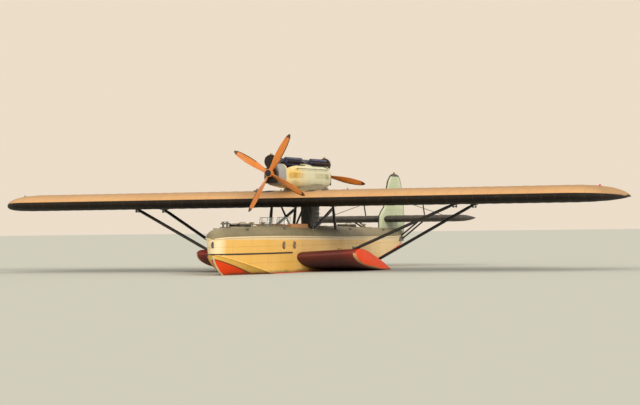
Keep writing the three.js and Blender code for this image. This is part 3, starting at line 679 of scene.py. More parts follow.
# %% [markdown]
# The frame's solid carries keel, chine and deck edge as three points in each section, so they are read from
# it, and a smooth curve through them gives the sections that the surface needs. Each stretch between steps
# is faired on its own.

# %% Hull lines from the frame
STEP_JUMP = 0.01
SECTION_PITCH = 0.14
HULL_NODES = ("hull_bow", "hull_middle", "hull_aft")
DECK_NODES = ("deck_bow", "deck_middle", "deck_aft")


def hull_table():
    """Rows of y, keel z, chine x, chine z, deck edge x and deck edge z, one for each station of the solid."""
    points = solid_points(*HULL_NODES)
    keels = points[(np.abs(points[:, 0]) < 1e-4) & (points[:, 2] < 0.8)]
    rows = []
    for y in np.unique(np.round(keels[:, 1], 3)):
        ring = points[(np.abs(points[:, 1] - y) < 6e-4) & (points[:, 0] > -1e-4)]
        keel = ring[ring[:, 2].argmin()]
        edge_z = ring[(ring[:, 0] + 10 * ring[:, 2]).argmax()][2]
        edge_x = ring[ring[:, 2] > edge_z - 1e-3][:, 0].max()
        between = ring[(ring[:, 2] < edge_z - 0.02) & (ring[:, 0] > 0.03)]
        chine = between[(between[:, 0] - between[:, 2]).argmax()]
        rows.append((y, keel[2], chine[0], chine[2], edge_x, edge_z))
    return np.array(rows)


def faired(table, y):
    """Each column at the places y: a cubic between neighbouring rows, with the slopes of the rows around."""
    slopes = np.gradient(table, table[:, 0], axis=0)
    low = np.clip(np.searchsorted(table[:, 0], y, "right") - 1, 0, len(table) - 2)
    length = table[low + 1, 0] - table[low, 0]
    t = ((y - table[low, 0]) / length)[:, None]
    bend = t * (1 - t) * ((1 - t) * slopes[low] - t * slopes[low + 1]) * length[:, None]
    return table[low] * (1 + 2 * t) * (1 - t) ** 2 + table[low + 1] * t ** 2 * (3 - 2 * t) + bend


def curve(*points, steps=10):
    """A smooth path through a few points, faired as a table of their numbers and places."""
    table = np.column_stack([np.arange(len(points)), np.asarray(points, float)])
    where = np.linspace(0, len(points) - 1, steps * (len(points) - 1) + 1)
    return faired(table, where)[:, 1:]


lines = hull_table()
jumps = np.flatnonzero(np.diff(lines[:, 0]) < STEP_JUMP)
print("hull stations", len(lines), "steps at", lines[jumps, 0])

# %% [markdown]
# A metal hull's skin is bent over frames, so the bottom is a little hollow, the side nearly flat, and the
# deck a turtle back that sheds water. All three are lofts over the same sections. The openings are cut out
# afterwards, so their edges are clean and their walls go down into the boat.

# %% Hull and deck sections
BOTTOM_HOLLOW = 0.03
DECK_EDGE_RISE = 0.012
DECK_ARCH_POWER = 0.8

stations = []
for run in np.split(np.arange(len(lines)), jumps + 1):
    starts = lines[run, 0]
    counts = np.maximum(np.ceil(np.diff(starts) / SECTION_PITCH).astype(int), 2)
    places = [np.linspace(a, b, n, endpoint=False) for a, b, n in zip(starts, starts[1:], counts)]
    stations.append(faired(lines[run], np.append(np.concatenate(places), starts[-1])))
stations = np.concatenate(stations)
station_y = stations[:, 0]
y, keel_z, chine_x, chine_z, edge_x, edge_z = (column[:, None] for column in stations.T)


t = np.linspace(0, 1, 10)[None]
bottom_z = keel_z + (chine_z - keel_z) * t + BOTTOM_HOLLOW * np.sin(pi * t) * chine_x
side_t = np.linspace(0, 1, 12)[None, 1:]
half_x = np.hstack([chine_x * t, chine_x + (edge_x - chine_x) * side_t])
half_z = np.hstack([bottom_z, chine_z + (edge_z - chine_z) * side_t])
hull_rings = points_at(np.hstack([half_x, -half_x[:, :0:-1]]), y, np.hstack([half_z, half_z[:, :0:-1]]))

deck_points = solid_points(*DECK_NODES)
ridge = deck_points[(np.abs(deck_points[:, 0]) < 1e-4) & (deck_points[:, 2] > 1.3)]
ridge = ridge[ridge[:, 1].argsort()]


def ridge_height(at_y):
    """Height of the deck's middle line."""
    return np.interp(at_y, ridge[:, 1], ridge[:, 2])


def hull_line(at_y, column):
    """A column of the stations at a place."""
    return np.interp(at_y, station_y, stations[:, column])


def deck_height(x, at_y):
    """Height of the deck: deck edge + rise + crown * sin(a) ** 0.8, where cos(a) = x / half breadth."""
    foot = hull_line(at_y, 5) + DECK_EDGE_RISE
    share = np.clip(1 - (np.asarray(x) / hull_line(at_y, 4)) ** 2, 0, 1) ** (DECK_ARCH_POWER / 2)
    return foot + (ridge_height(at_y) - foot) * share


def side_breadth(at_y, z):
    """Half breadth of the hull side at a height between chine and deck edge."""
    low_x, low_z, high_x, high_z = (hull_line(at_y, column) for column in (2, 3, 4, 5))
    return low_x + (high_x - low_x) * (z - low_z) / (high_z - low_z)


angle = np.linspace(0, pi, 61)[None]
arch = np.sin(angle) ** DECK_ARCH_POWER
arch_z = edge_z + DECK_EDGE_RISE + (ridge_height(y) - edge_z - DECK_EDGE_RISE) * arch
foot_x = edge_x * np.array([[-1, 1]])
foot_z = np.repeat(edge_z + 0.002, 2, 1)
deck_rings = points_at(np.hstack([edge_x * np.cos(angle), foot_x]), y, np.hstack([arch_z, foot_z]))
print("sections", len(stations))

# %% Hull and deck shells with their openings
COCKPIT_WALL = 0.046
COCKPIT_FLOOR_Z = 0.76
HATCH_PIT_Z = 0.95
HATCH_RADIUS = 0.31
PIT_MARGIN = 0.005
TRANSOM_Y = 8.9
UNDER_DECK_Z = 1.0

rim_low, rim_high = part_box("cockpit_coaming")
cockpit_low = np.array([rim_low.x + COCKPIT_WALL, rim_low.y + COCKPIT_WALL, COCKPIT_FLOOR_Z])
cockpit_high = np.array([-cockpit_low[0], rim_high.y - COCKPIT_WALL, 2.0])
cockpit_middle = (cockpit_low + cockpit_high) / 2
cockpit_hole = cuboid(cockpit_middle, cockpit_high - cockpit_low)
hatch_y = {}
for hatch in ("bow", "aft"):
    coaming_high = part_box(f"{hatch}_hatch_coaming")[1]
    hatch_y[hatch] = coaming_high.y - coaming_high.x
pit = cuboid((0, 0, HATCH_PIT_Z + 0.6), (2 * HATCH_RADIUS, 2 * HATCH_RADIUS, 1.2))
hatch_hole = turned([(0, 0.9), (HATCH_RADIUS + 0.01, 0.9), (HATCH_RADIUS + 0.01, 2), (0, 2)], 48)
pits, hatch_holes = ([repeated(form, (0, at, 0)) for at in hatch_y.values()] for form in (pit, hatch_hole))


def below_chine(centre, normal):
    """Faces that lie between keel and chine, and the walls of the two steps."""
    return (centre[:, 2] < hull_line(centre[:, 1], 3) + 0.002) & (centre[:, 1] < TRANSOM_Y)


def inside_openings(centre, normal):
    """Faces of the pits below the cockpit and the hatches."""
    x, y, z = np.abs(centre[:, 0]), centre[:, 1], centre[:, 2]
    reach = (cockpit_high - cockpit_low) / 2 + PIT_MARGIN
    inside = (x < reach[0]) & (np.abs(y - cockpit_middle[1]) < reach[1]) & (z > COCKPIT_FLOOR_Z - 0.01)
    for at in hatch_y.values():
        pit_half = HATCH_RADIUS + PIT_MARGIN
        inside |= (x < pit_half) & (np.abs(y - at) < pit_half) & (z > HATCH_PIT_Z - 0.01)
    wall = (np.abs(normal[:, 2]) < 0.05) & ((np.abs(normal[:, 1]) > 0.99) | (x < reach[0]))
    return inside & ((z < UNDER_DECK_Z) | wall)


hull = cut(make_mesh("hull_shell", loft(hull_rings)), cockpit_hole, *pits)
finish_piece(hull, "hull_paint", [HULL_YELLOW, HULL_BOTTOM, CABIN_GREEN], stands_for=HULL_NODES)
paint_where(hull, 1, below_chine)
paint_where(hull, 2, inside_openings)
deck = cut(make_mesh("deck_shell", loft(deck_rings)), cockpit_hole, *hatch_holes)
finish_piece(deck, "deck_paint", [DECK_GREY, CABIN_GREEN], stands_for=DECK_NODES)
paint_where(deck, 1, inside_openings)
print("hull faces", len(hull.data.polygons), "deck faces", len(deck.data.polygons))

# %% [markdown]
# What a hull rubs against wears a bar: a half round at the gunwale, a strip along the chine that throws the
# spray down, and a shoe under the keel. Each is a tube along one of the hull's own lines.

# %% Gunwale, chine strips and keel shoe
GUNWALE_RADIUS = 0.026
GUNWALE_LIFT = 0.004
CHINE_RADIUS = 0.02
KEEL_RADIUS = 0.028
STEM_BAND_HIGHLIGHT_END_Y = -6.3
# A pale metal band on the stem. Its cream is also a painted highlight along the stem's edge.
STEM_BAND_HIGHLIGHT = metal_paint("stem_band", tone(226, 210, 172), tone(196, 178, 140), 0.35, metallic=0.3)

gunwale = both_sides(tube(stations[:, [4, 0, 5]] + (0, 0, GUNWALE_LIFT), GUNWALE_RADIUS, 10))
make("gunwale", gunwale, "hull_paint", HULL_YELLOW)
spray_strips = both_sides(tube(stations[:, [2, 0, 3]], CHINE_RADIUS, 10))
make("spray_strips", spray_strips, "bottom_paint", HULL_BOTTOM)
keel_line = stations[:, [1, 0, 1]] * (0, 1, 1)
shoe = make("keel_shoe", tube(keel_line, KEEL_RADIUS, 10), "bottom_paint", [HULL_BOTTOM, STEM_BAND_HIGHLIGHT])
paint_where(shoe, 1, lambda centre, normal: centre[:, 1] < STEM_BAND_HIGHLIGHT_END_Y)
dress("rubbing_strake", "dark_paint", STRUT_BLACK, bevel=0.0)
print("gunwale at the bow", stations[0, [4, 0, 5]].round(3))

# %% [markdown]
# Wing, stub wings and tail are aerofoils: a thickness that swells quickly behind the nose and tapers to the
# edge, laid on both sides of an arched middle line. One function gives the section and each surface says how
# its chord changes along the span.

# %% Aerofoil sections


def aerofoil(chord, thickness, camber=0.0, count=22, edge=0.014):
    """Points (along, up) from the trailing edge over the top to the nose and back below, for each chord.
    Half thickness = 5 t (0.2969 sqrt(s) - 0.126 s - 0.3516 s^2 + 0.2843 s^3 - 0.1036 s^4) + edge s / 2 at
    the share s of the chord, and the middle line rises by 4 camber s (1 - s)."""
    chord, thickness, camber = (np.asarray(v, float).reshape(-1, 1) for v in (chord, thickness, camber))
    step = np.linspace(0, 1, count + 1)
    step = np.concatenate([step, step[-2::-1]])[None]
    side = np.where(np.arange(2 * count + 1) <= count, 1, -1)[None]
    s = (1 + np.cos(pi * step)) / 2
    series = 0.2969 * np.sqrt(s) - 0.126 * s - 0.3516 * s ** 2 + 0.2843 * s ** 3 - 0.1036 * s ** 4
    up = 4 * camber * s * (1 - s) + side * (5 * thickness * series + edge / 2 * s)
    return np.stack(np.broadcast_arrays(chord * s, up), -1)


def wing_skin(x, sections, nose_y, base_z):
    """Rings of a surface that runs along X: each section moved to its place, its nose and its height."""
    along, up = sections[..., 0], sections[..., 1]
    x, nose_y, base_z = (np.reshape(v, (-1, 1)) for v in np.broadcast_arrays(x, nose_y, base_z))
    return points_at(x, nose_y + along, base_z + up)


print("thickest at", round(float(np.ptp(aerofoil(1, 0.12)[0, :, 1])), 3), "of the chord")

# %% [markdown]
# The stub wings hold the boat level. They are red, with shade painted in as dark red on all but their blunt
# ends, which are bright red, and a highlight painted as a cream line along the lower half of the rounded rim.

# %% Stub wings
SPONSON_THICKNESS = 0.5
SPONSON_CAMBER = 0.03
# columns: y, z
SPONSON_ROOT = np.array([-3.0, 0.5])
SPONSON_TIP = np.array([-2.57, 0.61])
SPONSON_AFT = np.array([0.812, -0.01])
SPONSON_ROOT_X = 0.95
SPONSON_STATIONS = 30
RIM_STEPS = [0.3, 0.6, 0.85, 1.0]
RIM_RADIUS = 0.085
# Nearer the end than the middle bound the red has no painted shade. The painted highlight on the rim lies
# between the two rim bounds.
RIM_MIDDLE = 0.25
RIM_HIGHLIGHT_LINE = (0.05, 1.05)
sponson_tip_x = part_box("sponson_port")[1].x


def sponson(side):
    """A stub wing from inside the hull to its end, whose rim is a quarter round."""
    rim = np.array(RIM_STEPS) * pi / 2
    span = np.linspace(SPONSON_ROOT_X, sponson_tip_x - RIM_RADIUS, SPONSON_STATIONS)
    share = (span - SPONSON_ROOT_X) / (sponson_tip_x - SPONSON_ROOT_X)
    share = np.append(share, np.ones(len(rim)))
    span = np.append(span, sponson_tip_x - RIM_RADIUS + RIM_RADIUS * np.sin(rim))
    inset = np.append(np.zeros(SPONSON_STATIONS), RIM_RADIUS * (1 - np.cos(rim)))[:, None, None]
    nose_y, nose_z = (SPONSON_ROOT + (SPONSON_TIP - SPONSON_ROOT) * share[:, None]).T
    chord = SPONSON_AFT[0] - nose_y
    sections = aerofoil(chord, SPONSON_THICKNESS, SPONSON_CAMBER, 20, 0.02)
    drop = (SPONSON_AFT[1] - nose_z) / chord
    sections[..., 1] += drop[:, None] * sections[..., 0]
    rings = wing_skin(side * span, sections, nose_y, nose_z)
    middle = rings.mean(1, keepdims=True)
    reach = np.linalg.norm(rings - middle, axis=-1, keepdims=True)
    rings += (middle - rings) / reach * np.minimum(inset, reach * 0.5)
    return loft(rings)


def off_the_end(centre):
    """How far each face is from the end, in rim radii."""
    return (sponson_tip_x - np.abs(centre[:, 0])) / RIM_RADIUS


def sponson_rim_highlight(centre, normal):
    """The lower half of the rim, which gets a painted highlight."""
    away = off_the_end(centre)
    return (away > RIM_HIGHLIGHT_LINE[0]) & (away < RIM_HIGHLIGHT_LINE[1]) & (normal[:, 2] < -0.05)


def shaded_maroon_paint():
    """The stub wings' red with shade painted in as dark red, redder towards their ends."""
    paint = Paint("stub_maroon", tone(98, 32, 22), 0.4)
    weather(paint, tone(74, 26, 18), patch=1.1, streak=0.5)
    # Less painted shade towards the ends.
    outer = ((paint.x.absolute() - 2.3) / 0.6).clamped()
    paint.over(outer * 0.35, tone(176, 52, 28))
    add_seams(paint, paint.x, paint.y, 0.7, pitch=0.62)
    return paint.done()


# %% [markdown]
# The wing has ribs every 45 cm. The fabric is pulled tight over them and sinks a few millimetres in between,
# so the surface is scalloped. It is warm cream above, browner behind the metal nose, and near black below as
# painted shade.
# The tailplane is made by the same rule, so the measures of each surface are kept together under one name.

# %% Ribbed surfaces
SKIN_EDGE = 0.05
wing_low, wing_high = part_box("wing_port")
WING_CAMBER = 0.11
WING_MIDDLE_Z = 2.407
WING = SimpleNamespace(
    half_span=cad_high.x, tip=1.6, tip_power=2.4, tip_least=0.012, chord=wing_high.y - wing_low.y,
    nose_y=wing_low.y, shift=0.56, z=WING_MIDDLE_Z - WING_CAMBER / 2, thickness=0.56, thinning=0.9,
    camber=WING_CAMBER, points=26, cover=(0.13, 0.97), sag=0.007, rib_pitch=0.45)
TAIL_CHORD = 1.9
TAIL_MIDDLE_Y = 8.515
TAIL = SimpleNamespace(
    half_span=3.26, tip=0.5, tip_power=2.2, tip_least=0.03, chord=TAIL_CHORD,
    nose_y=TAIL_MIDDLE_Y - TAIL_CHORD / 2, shift=0.6, z=1.757, thickness=0.26, thinning=1,
    camber=0.0, points=22, cover=(0.1, 0.96), sag=0.005, rib_pitch=0.38)


def tip_share(of, x):
    """How much of the chord is left: sqrt(1 - u ^ power), where u is the share of the tip's length."""
    outside = np.maximum(0, np.abs(x) - (of.half_span - of.tip)) / of.tip
    return np.sqrt(np.maximum(of.tip_least, 1 - outside ** of.tip_power))


def ribbed_rings(of, x):
    """Sections of a surface at the places x. Between ribs the fabric sinks by sag * sin^2."""
    share = tip_share(of, x)
    chord = of.chord * share
    sections = aerofoil(chord, of.thickness * share ** of.thinning, of.camber * share, of.points)
    s = sections[..., 0] / chord[:, None]
    first, last = of.cover
    covered = np.clip((s - first) / SKIN_EDGE, 0, 1) * np.clip((last - s) / SKIN_EDGE, 0, 1)
    sag = of.sag * covered * np.sin(pi * x / of.rib_pitch)[:, None] ** 2 * share[:, None]
    below = np.arange(sections.shape[1])[None] > sections.shape[1] // 2
    sections[..., 1] += np.where(below, sag, -sag)
    return wing_skin(x, sections, of.nose_y + (of.chord - chord) * of.shift, of.z)


def span_places(of, start, tip_steps):
    """Six sections to a rib bay, then closer ones round the tip."""
    inner = np.arange(start, of.half_span - of.tip, of.rib_pitch / 6)
    tip = of.half_span - of.tip + of.tip * np.sin(np.linspace(0, pi / 2, tip_steps))
    return np.append(inner, tip)


NOSE_EDGE = 0.0146


def underside(centre, normal):
    """Faces below the wing's middle line, and those of the nose up to the share where the cream begins."""
    share = tip_share(WING, centre[:, 0])
    chord = WING.chord * share
    s = (centre[:, 1] - WING.nose_y - (WING.chord - chord) * WING.shift) / chord
    middle = WING.z + 4 * WING.camber * share * s * (1 - s)
    return (centre[:, 2] < middle) | (s < NOSE_EDGE)


def cream_paint():
    """Warm cream along the wing's nose, browner behind it, with soft dirt and a line at each rib."""
    paint = Paint("wing_cream", tone(206, 164, 114), 0.5, **{"Specular IOR Level": 0.25})
    weather(paint, tone(196, 148, 94), patch=0.55, streak=0.3)
    add_ribs(paint, paint.x, WING.rib_pitch, 0.028, 0.35, tone(170, 126, 80))
    paint.height = paint.height + (1 - paint.x.to_line(WING.rib_pitch).within(0.004)) * 0.3
    browner = ((paint.y + 1.95) / 0.7).clamped()
    paint.over(browner * 0.8, tone(158, 126, 88))
    soot = ((paint.noise(0.9, 5.0) - 0.55) * 2.2).clamped()
    paint.over(soot * 0.3, tone(112, 90, 64))
    return paint.done()


def under_shade_paint():
    """Near black as painted shade on the underside, faintly brown, with rib lines."""
    paint = Paint("under_charcoal", tone(27, 22, 16), 0.55, **{"Specular IOR Level": 0.2})
    weather(paint, tone(38, 31, 23), patch=0.8, streak=0.4)
    add_ribs(paint, paint.x, WING.rib_pitch, 0.028, 0.4, tone(64, 53, 40))
    return paint.done()


WING_CREAM_AND_RIM_HIGHLIGHT = cream_paint()
STUB_SHADED_MAROON = shaded_maroon_paint()
UNDER_SHADE = under_shade_paint()
for side_name, side in SIDES:
    stub = make(f"stub_wing_{side_name}", sponson(side), "bottom_paint",
                [BOTTOM_RED, STUB_SHADED_MAROON, WING_CREAM_AND_RIM_HIGHLIGHT], stands_for=(f"sponson_{side_name}",))
    # Dark red painted shade everywhere but on the end faces.
    paint_where(stub, 1, lambda centre, normal: off_the_end(centre) > RIM_MIDDLE)
    # A cream painted highlight on the lower half of the rim.
    paint_where(stub, 2, sponson_rim_highlight)
print("stub wing reach", round(sponson_tip_x, 3))

# %% [markdown]
# Each outer wing is one loft, with the bay of its aileron cut out. The aileron is the wing's section behind
# the hinge, closed by a half circle about the hinge line.

# %% Wing and ailerons
CLEARANCE = 0.012
AILERON_CHORD = 0.85
AILERON_NOSE = 0.112
aileron_boxes = {name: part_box(f"aileron_{name}") for name, _ in SIDES}
aileron_hinge_y = wing_high.y - AILERON_CHORD
hinge_share = (aileron_hinge_y - WING.nose_y) / WING.chord
aileron_z = WING.z + 4 * WING.camber * hinge_share * (1 - hinge_share)
centre_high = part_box("wing_centre")[1]


def finish_wing(piece, name):
    """Cream above, and near black below as painted shade."""
    finish_piece(piece, "wing_skin", [WING_CREAM_AND_RIM_HIGHLIGHT, UNDER_SHADE], stands_for=(name,),
                 body=name if name.startswith("aileron") else "airframe")
    # The underside and the lower nose get the near-black painted shade.
    paint_where(piece, 1, underside)


def hinged_rings(rings, hinge_y, hinge_z, radius, steps=14):
    """What lies behind a hinge line, closed in front by a half circle: centre + r (-sin a, cos a)."""
    count = rings.shape[1]
    behind = rings[0, :, 1] > hinge_y + 0.004
    upper = np.flatnonzero(behind & (np.arange(count) <= count // 2))
    lower = np.flatnonzero(behind & (np.arange(count) > count // 2))
    angle = np.linspace(0, pi, steps)
    nose = points_at(rings[:, :1, 0], hinge_y - radius * np.sin(angle), hinge_z + radius * np.cos(angle))
    return np.concatenate([rings[:, upper], nose, rings[:, lower]], 1)


for side_name, side in SIDES:
    low, high = aileron_boxes[side_name]
    flap = np.sort(np.abs([low.x, high.x]))
    places = side * span_places(WING, centre_high.x + 0.002, 26)
    wing = make_mesh(f"wing_{side_name}_skin", loft(ribbed_rings(WING, places)))
    bay_middle = (side * flap.mean(), low.y - CLEARANCE + 1, WING_MIDDLE_Z)
    cut(wing, cuboid(bay_middle, (np.ptp(flap) + 2 * CLEARANCE, 2, 1)))
    finish_wing(wing, f"wing_{side_name}")
    rings = ribbed_rings(WING, np.linspace(low.x, high.x, 45))
    rings = hinged_rings(rings, aileron_hinge_y, aileron_z, AILERON_NOSE)
    finish_wing(make_mesh(f"aileron_{side_name}_skin", loft(rings)), f"aileron_{side_name}")
centre_rings = ribbed_rings(WING, np.linspace(-centre_high.x, centre_high.x, 45))
centre = make_mesh("wing_centre_skin", loft(centre_rings))
cut(centre, cuboid((0, centre_high.y + 0.5, WING_MIDDLE_Z), (4, 1, 1)))
finish_wing(centre, "wing_centre")
print("wing half span", round(WING.half_span, 3), "aileron hinge at", round(aileron_hinge_y, 3))

# %% [markdown]
# Both engines stand in one housing on the wing. Only its shell is plate: it is open over the cylinders, as
# on engines that are looked after from the wing. Its section is a rounded rectangle, whose corners come from
# a power below one on the cosine and the sine.

# %% Engine housing
SHAFT_Z = 3.261
HOUSING_WALL = 0.03
HOUSING_SQUARENESS = 0.62
# columns: y, half breadth, bottom z, top z
HOUSING_LINES = np.array([
    [-2.66, 0.25, 2.96, 3.52],
    [-2.35, 0.37, 2.86, 3.59],
    [-1.5, 0.45, 2.79, 3.62],
    [0.9, 0.45, 2.79, 3.62],
    [1.55, 0.38, 2.84, 3.59],
    [1.84, 0.26, 2.96, 3.52],
])
ENGINE_BAYS = [(-2.25, -0.7), (-0.1, 1.45)]
BAY_HALF = 0.36
BAY_FLOOR_Z = 3.35
BAY_EDGE_Z = 3.565
SHAFT_HOLE = 0.09


def housing(wall=0.0):
    """The housing's shell, or what it leaves hollow: rings of half breadth * sign(c) |c| ^ p and so on."""
    ends = HOUSING_LINES[[0, -1], 0] + np.array([wall, -wall])
    y = np.linspace(*ends, 60)
    half, low, high = (np.interp(y, HOUSING_LINES[:, 0], HOUSING_LINES[:, i])[:, None] for i in (1, 2, 3))
    angle = full_turn(56)[None]
    cosine, sine = (np.sign(v) * np.abs(v) ** HOUSING_SQUARENESS for v in (np.cos(angle), np.sin(angle)))
    x = (half - wall) * cosine
    z = (low + high) / 2 + ((high - low) / 2 - wall) * sine
    return loft(points_at(x, y[:, None], z))


def housing_paint():
    """Pale cream enamel, grey on the nose ring, golden behind it, greener aft, oily along the joints."""
    paint = Paint("housing_cream", tone(222, 204, 140), 0.35)
    weather(paint, tone(226, 216, 176), patch=1.6)
    greener = ((paint.y + 1.9) / 1.6).clamped()
    paint.over(greener * 0.75, tone(198, 204, 180))
    add_seams(paint, paint.y, paint.z, 0.8, pitch=0.56)
    nose_grey = ((-2.3 - paint.y) / 0.05).clamped()
    paint.over(nose_grey * 0.85, tone(128, 134, 144))
    off_golden = ((paint.y + 1.75) ** 2.0 + ((paint.z - 3.28) * 2.6) ** 2.0) ** 0.5
    paint.over(((0.62 - off_golden) / 0.25).clamped() * 0.7, tone(224, 188, 84))
    oil = ((paint.noise(2.4, 6.0, stretch=(1.0, 0.35, 1.0)) - 0.56) * 4).clamped()
    paint.over(oil * 0.5, tone(92, 76, 50))
    return paint.done()


HOUSING_CREAM = housing_paint()
bays = [cuboid((0, (a + b) / 2, BAY_FLOOR_Z + 0.25), (2 * BAY_HALF, b - a, 0.5)) for a, b in ENGINE_BAYS]
shaft_holes = [tube([(0, y - 0.5, SHAFT_Z), (0, y + 0.5, SHAFT_Z)], SHAFT_HOLE, 32)
               for y in HOUSING_LINES[[0, -1], 0]]
shell = cut(make_mesh("engine_housing", housing()), housing(HOUSING_WALL), *bays, *shaft_holes)
finish_piece(shell, "hull_paint", HOUSING_CREAM, bevel=0.004, stands_for=("nacelle",))

LOUVRE_ROWS = [(-2.1, -1.1), (0.05, 1.25)]
LOUVRE_PITCH = 0.085
louvre = spun(cuboid(ORIGIN, (0.012, 0.05, 0.17)), radians(24), "z")
louvre_places = [(0.452, y, 3.22) for a, b in LOUVRE_ROWS for y in np.arange(a, b, LOUVRE_PITCH)]
make("cooling_louvres", both_sides(repeated(louvre, louvre_places)), "hull_paint", HOUSING_CREAM, bevel=0.003)
bay_edges = [tube([(x, a, BAY_EDGE_Z), (x, b, BAY_EDGE_Z)], 0.011, 8)
             for a, b in ENGINE_BAYS for x in (BAY_HALF, -BAY_HALF)]
black("bay_edges", together(*bay_edges))
print("housing faces", len(shell.data.polygons))

# %% [markdown]
# The housing stands on two saddles, and a fairing closes the gap down to the wing: a half oval in section
# that swells and sinks along its length like a low mound.

# %% Saddle fairing
MOUND_FROM = -1.3
MOUND_TO = 1.8
MOUND_HALF = 0.57
MOUND_FOOT_Z = 2.6
MOUND_TOP_Z = 3.06


def mound():
    """Rings of half breadth * share * cos a across and height * share * sin a up, share = sin(pi t) ^ 0.4."""
    t = np.linspace(0.002, 0.998, 50)[:, None]
    share = np.sin(pi * t) ** 0.4
    angle = np.linspace(0, pi, 25)[None]
    x = MOUND_HALF * share * np.cos(angle)
    z = MOUND_FOOT_Z + (MOUND_TOP_Z - MOUND_FOOT_Z) * share * np.sin(angle) ** 0.7
    return loft(points_at(x, MOUND_FROM + (MOUND_TO - MOUND_FROM) * t, z))


make("saddle_fairing", mound(), "deck_paint", DECK_GREY)
print("mound", round(MOUND_TO - MOUND_FROM, 2), "m long")

# %% [markdown]
# Each leaning bank has six separate cylinders with a cam box along their heads, an exhaust stub for each, a
# mixture pipe between the banks and water pipes outside. One cylinder is a turned profile, leaned over and
# repeated along the bank.

# %% Engine forms
BANK_ANGLE = radians(24)
BANK_FOOT = (0.09, 0.12)
CYLINDERS = 6
CYLINDER_PITCH = 0.215
HEAD_REACH = 0.415
BANK_OVERHANG = 0.13
MIXTURE_LIFT = 0.4
JACKET = [(0, 0), (0.092, 0), (0.092, 0.02), (0.074, 0.03), (0.074, 0.09), (0.079, 0.1), (0.079, 0.3),
          (0.084, 0.31), (0.084, 0.33), (0.07, 0.35), (0.06, 0.385), (0, 0.39)]
# columns: name, middle y, way to the propeller, hub y
ENGINES = [("front", -1.475, -1, -2.856), ("rear", 0.675, 1, 2.06)]


def bank_point(reach, y, out=0.0):
    """A place in the port bank: so far up the cylinder line, and so far out across it."""
    x = BANK_FOOT[0] + reach * sin(BANK_ANGLE) + out * cos(BANK_ANGLE)
    return (x, y, SHAFT_Z + BANK_FOOT[1] + reach * cos(BANK_ANGLE) - out * sin(BANK_ANGLE))


def open_pipe(path, radius, wall=0.2, sides=10, depth=0.05):
    """A pipe with an open mouth: the tube's last ring is followed by a smaller one and one further in."""
    points, faces = tube(path, radius, sides)
    rings = points.reshape(-1, sides, 3)
    middle = rings[-1].mean(0)
    inward = unit(rings[-2].mean(0) - middle)
    lip = middle + (rings[-1] - middle) * (1 - wall)
    return loft(np.concatenate([rings, lip[None], (lip + inward * depth)[None]]))


def engine(middle_y, way, hub_y):
    """The forms of one engine by part. Each pipe or block is made once and repeated at every cylinder."""
    ys = middle_y + (np.arange(CYLINDERS) - (CYLINDERS - 1) / 2) * CYLINDER_PITCH
    low, high = ys[0] - BANK_OVERHANG, ys[-1] + BANK_OVERHANG
    manifold_z = SHAFT_Z + MIXTURE_LIFT

    def at_cylinders(form, x=0, z=0):
        return repeated(form, [(x, y, z) for y in ys])

    def along_bank(reach, out, radius, sides):
        return tube([bank_point(reach, low, out), bank_point(reach, high, out)], radius, sides)

    jacket = spun(turned(JACKET), BANK_ANGLE)
    caps = [bank_point(HEAD_REACH + 0.045, y + shift) for y in ys for shift in (-0.05, 0.05)]
    cam_box = together(both_sides(along_bank(HEAD_REACH - 0.005, 0, 0.056, 16)),
                       both_sides(repeated(cuboid(ORIGIN, (0.03, 0.03, 0.024)), caps)))
    ribs = at_cylinders(cuboid(ORIGIN, (0.03, 0.03, 0.36)), 0.235, SHAFT_Z - 0.02)
    case = [cuboid((0, middle_y, SHAFT_Z - 0.03), (0.46, 1.4, 0.42)),
            tube([(0, hub_y - way * 0.5, SHAFT_Z), (0, hub_y - way * 0.2, SHAFT_Z)], [0.2, 0.11], 24),
            tube([(0, middle_y, SHAFT_Z), (0, hub_y - way * 0.053, SHAFT_Z)], 0.06, 20),
            both_sides(ribs)]
    stub = curve(bank_point(0.33, 0, 0.06), bank_point(0.36, way * 0.02, 0.14),
                 bank_point(0.37, way * 0.07, 0.19))
    manifold = tube([(0, low + 0.1, manifold_z), (0, high - 0.1, manifold_z)], 0.045, 14)
    branch = curve((0, 0, manifold_z), (0.08, 0, SHAFT_Z + 0.47), bank_point(0.34, 0, -0.05))
    elbow = curve(bank_point(0.08, 0, 0.1), bank_point(0.12, 0, 0.11), bank_point(0.15, 0, 0.07))
    pipes = [along_bank(0.08, 0.1, 0.02, 10), at_cylinders(tube(elbow, 0.014, 8)),
             along_bank(0.26, -0.09, 0.013, 8)]
    return {"jackets": both_sides(at_cylinders(jacket, BANK_FOOT[0], SHAFT_Z + BANK_FOOT[1])),
            "cam_boxes": cam_box,
            "case": together(*case),
            "exhausts": both_sides(at_cylinders(open_pipe(stub, 0.028))),
            "mixture_pipes": together(manifold, both_sides(at_cylinders(tube(branch, 0.026, 10)))),
            "water_pipes": both_sides(together(*pipes))}


CASTING = metal_paint("casting_grey", tone(112, 114, 120), tone(74, 74, 80), 0.42, metallic=0.7)
JACKET_BLUE = metal_paint("jacket_blue", tone(58, 62, 92), tone(34, 36, 52), 0.36, patch=9.0, metallic=0.35)
BURNT = metal_paint("burnt_iron", tone(58, 44, 38), tone(110, 66, 40), 0.6, patch=12.0, metallic=0.6)
engine_paints = {"jackets": JACKET_BLUE, "cam_boxes": JACKET_BLUE, "case": CASTING, "exhausts": BURNT,
                 "mixture_pipes": CASTING, "water_pipes": BRASS}
for engine_name, middle_y, way, hub_y in ENGINES:
    for part, form in engine(middle_y, way, hub_y).items():
        make(f"{engine_name}_engine_{part}", form, "engine_metal", engine_paints[part],
             bevel=0.006 if part in ("case", "cam_boxes") else 0.0,
             stands_for=(f"{engine_name}_engine",) if part == "case" else ())
print("engines", [row[0] for row in ENGINES], "with", CYLINDERS * 2, "cylinders each")

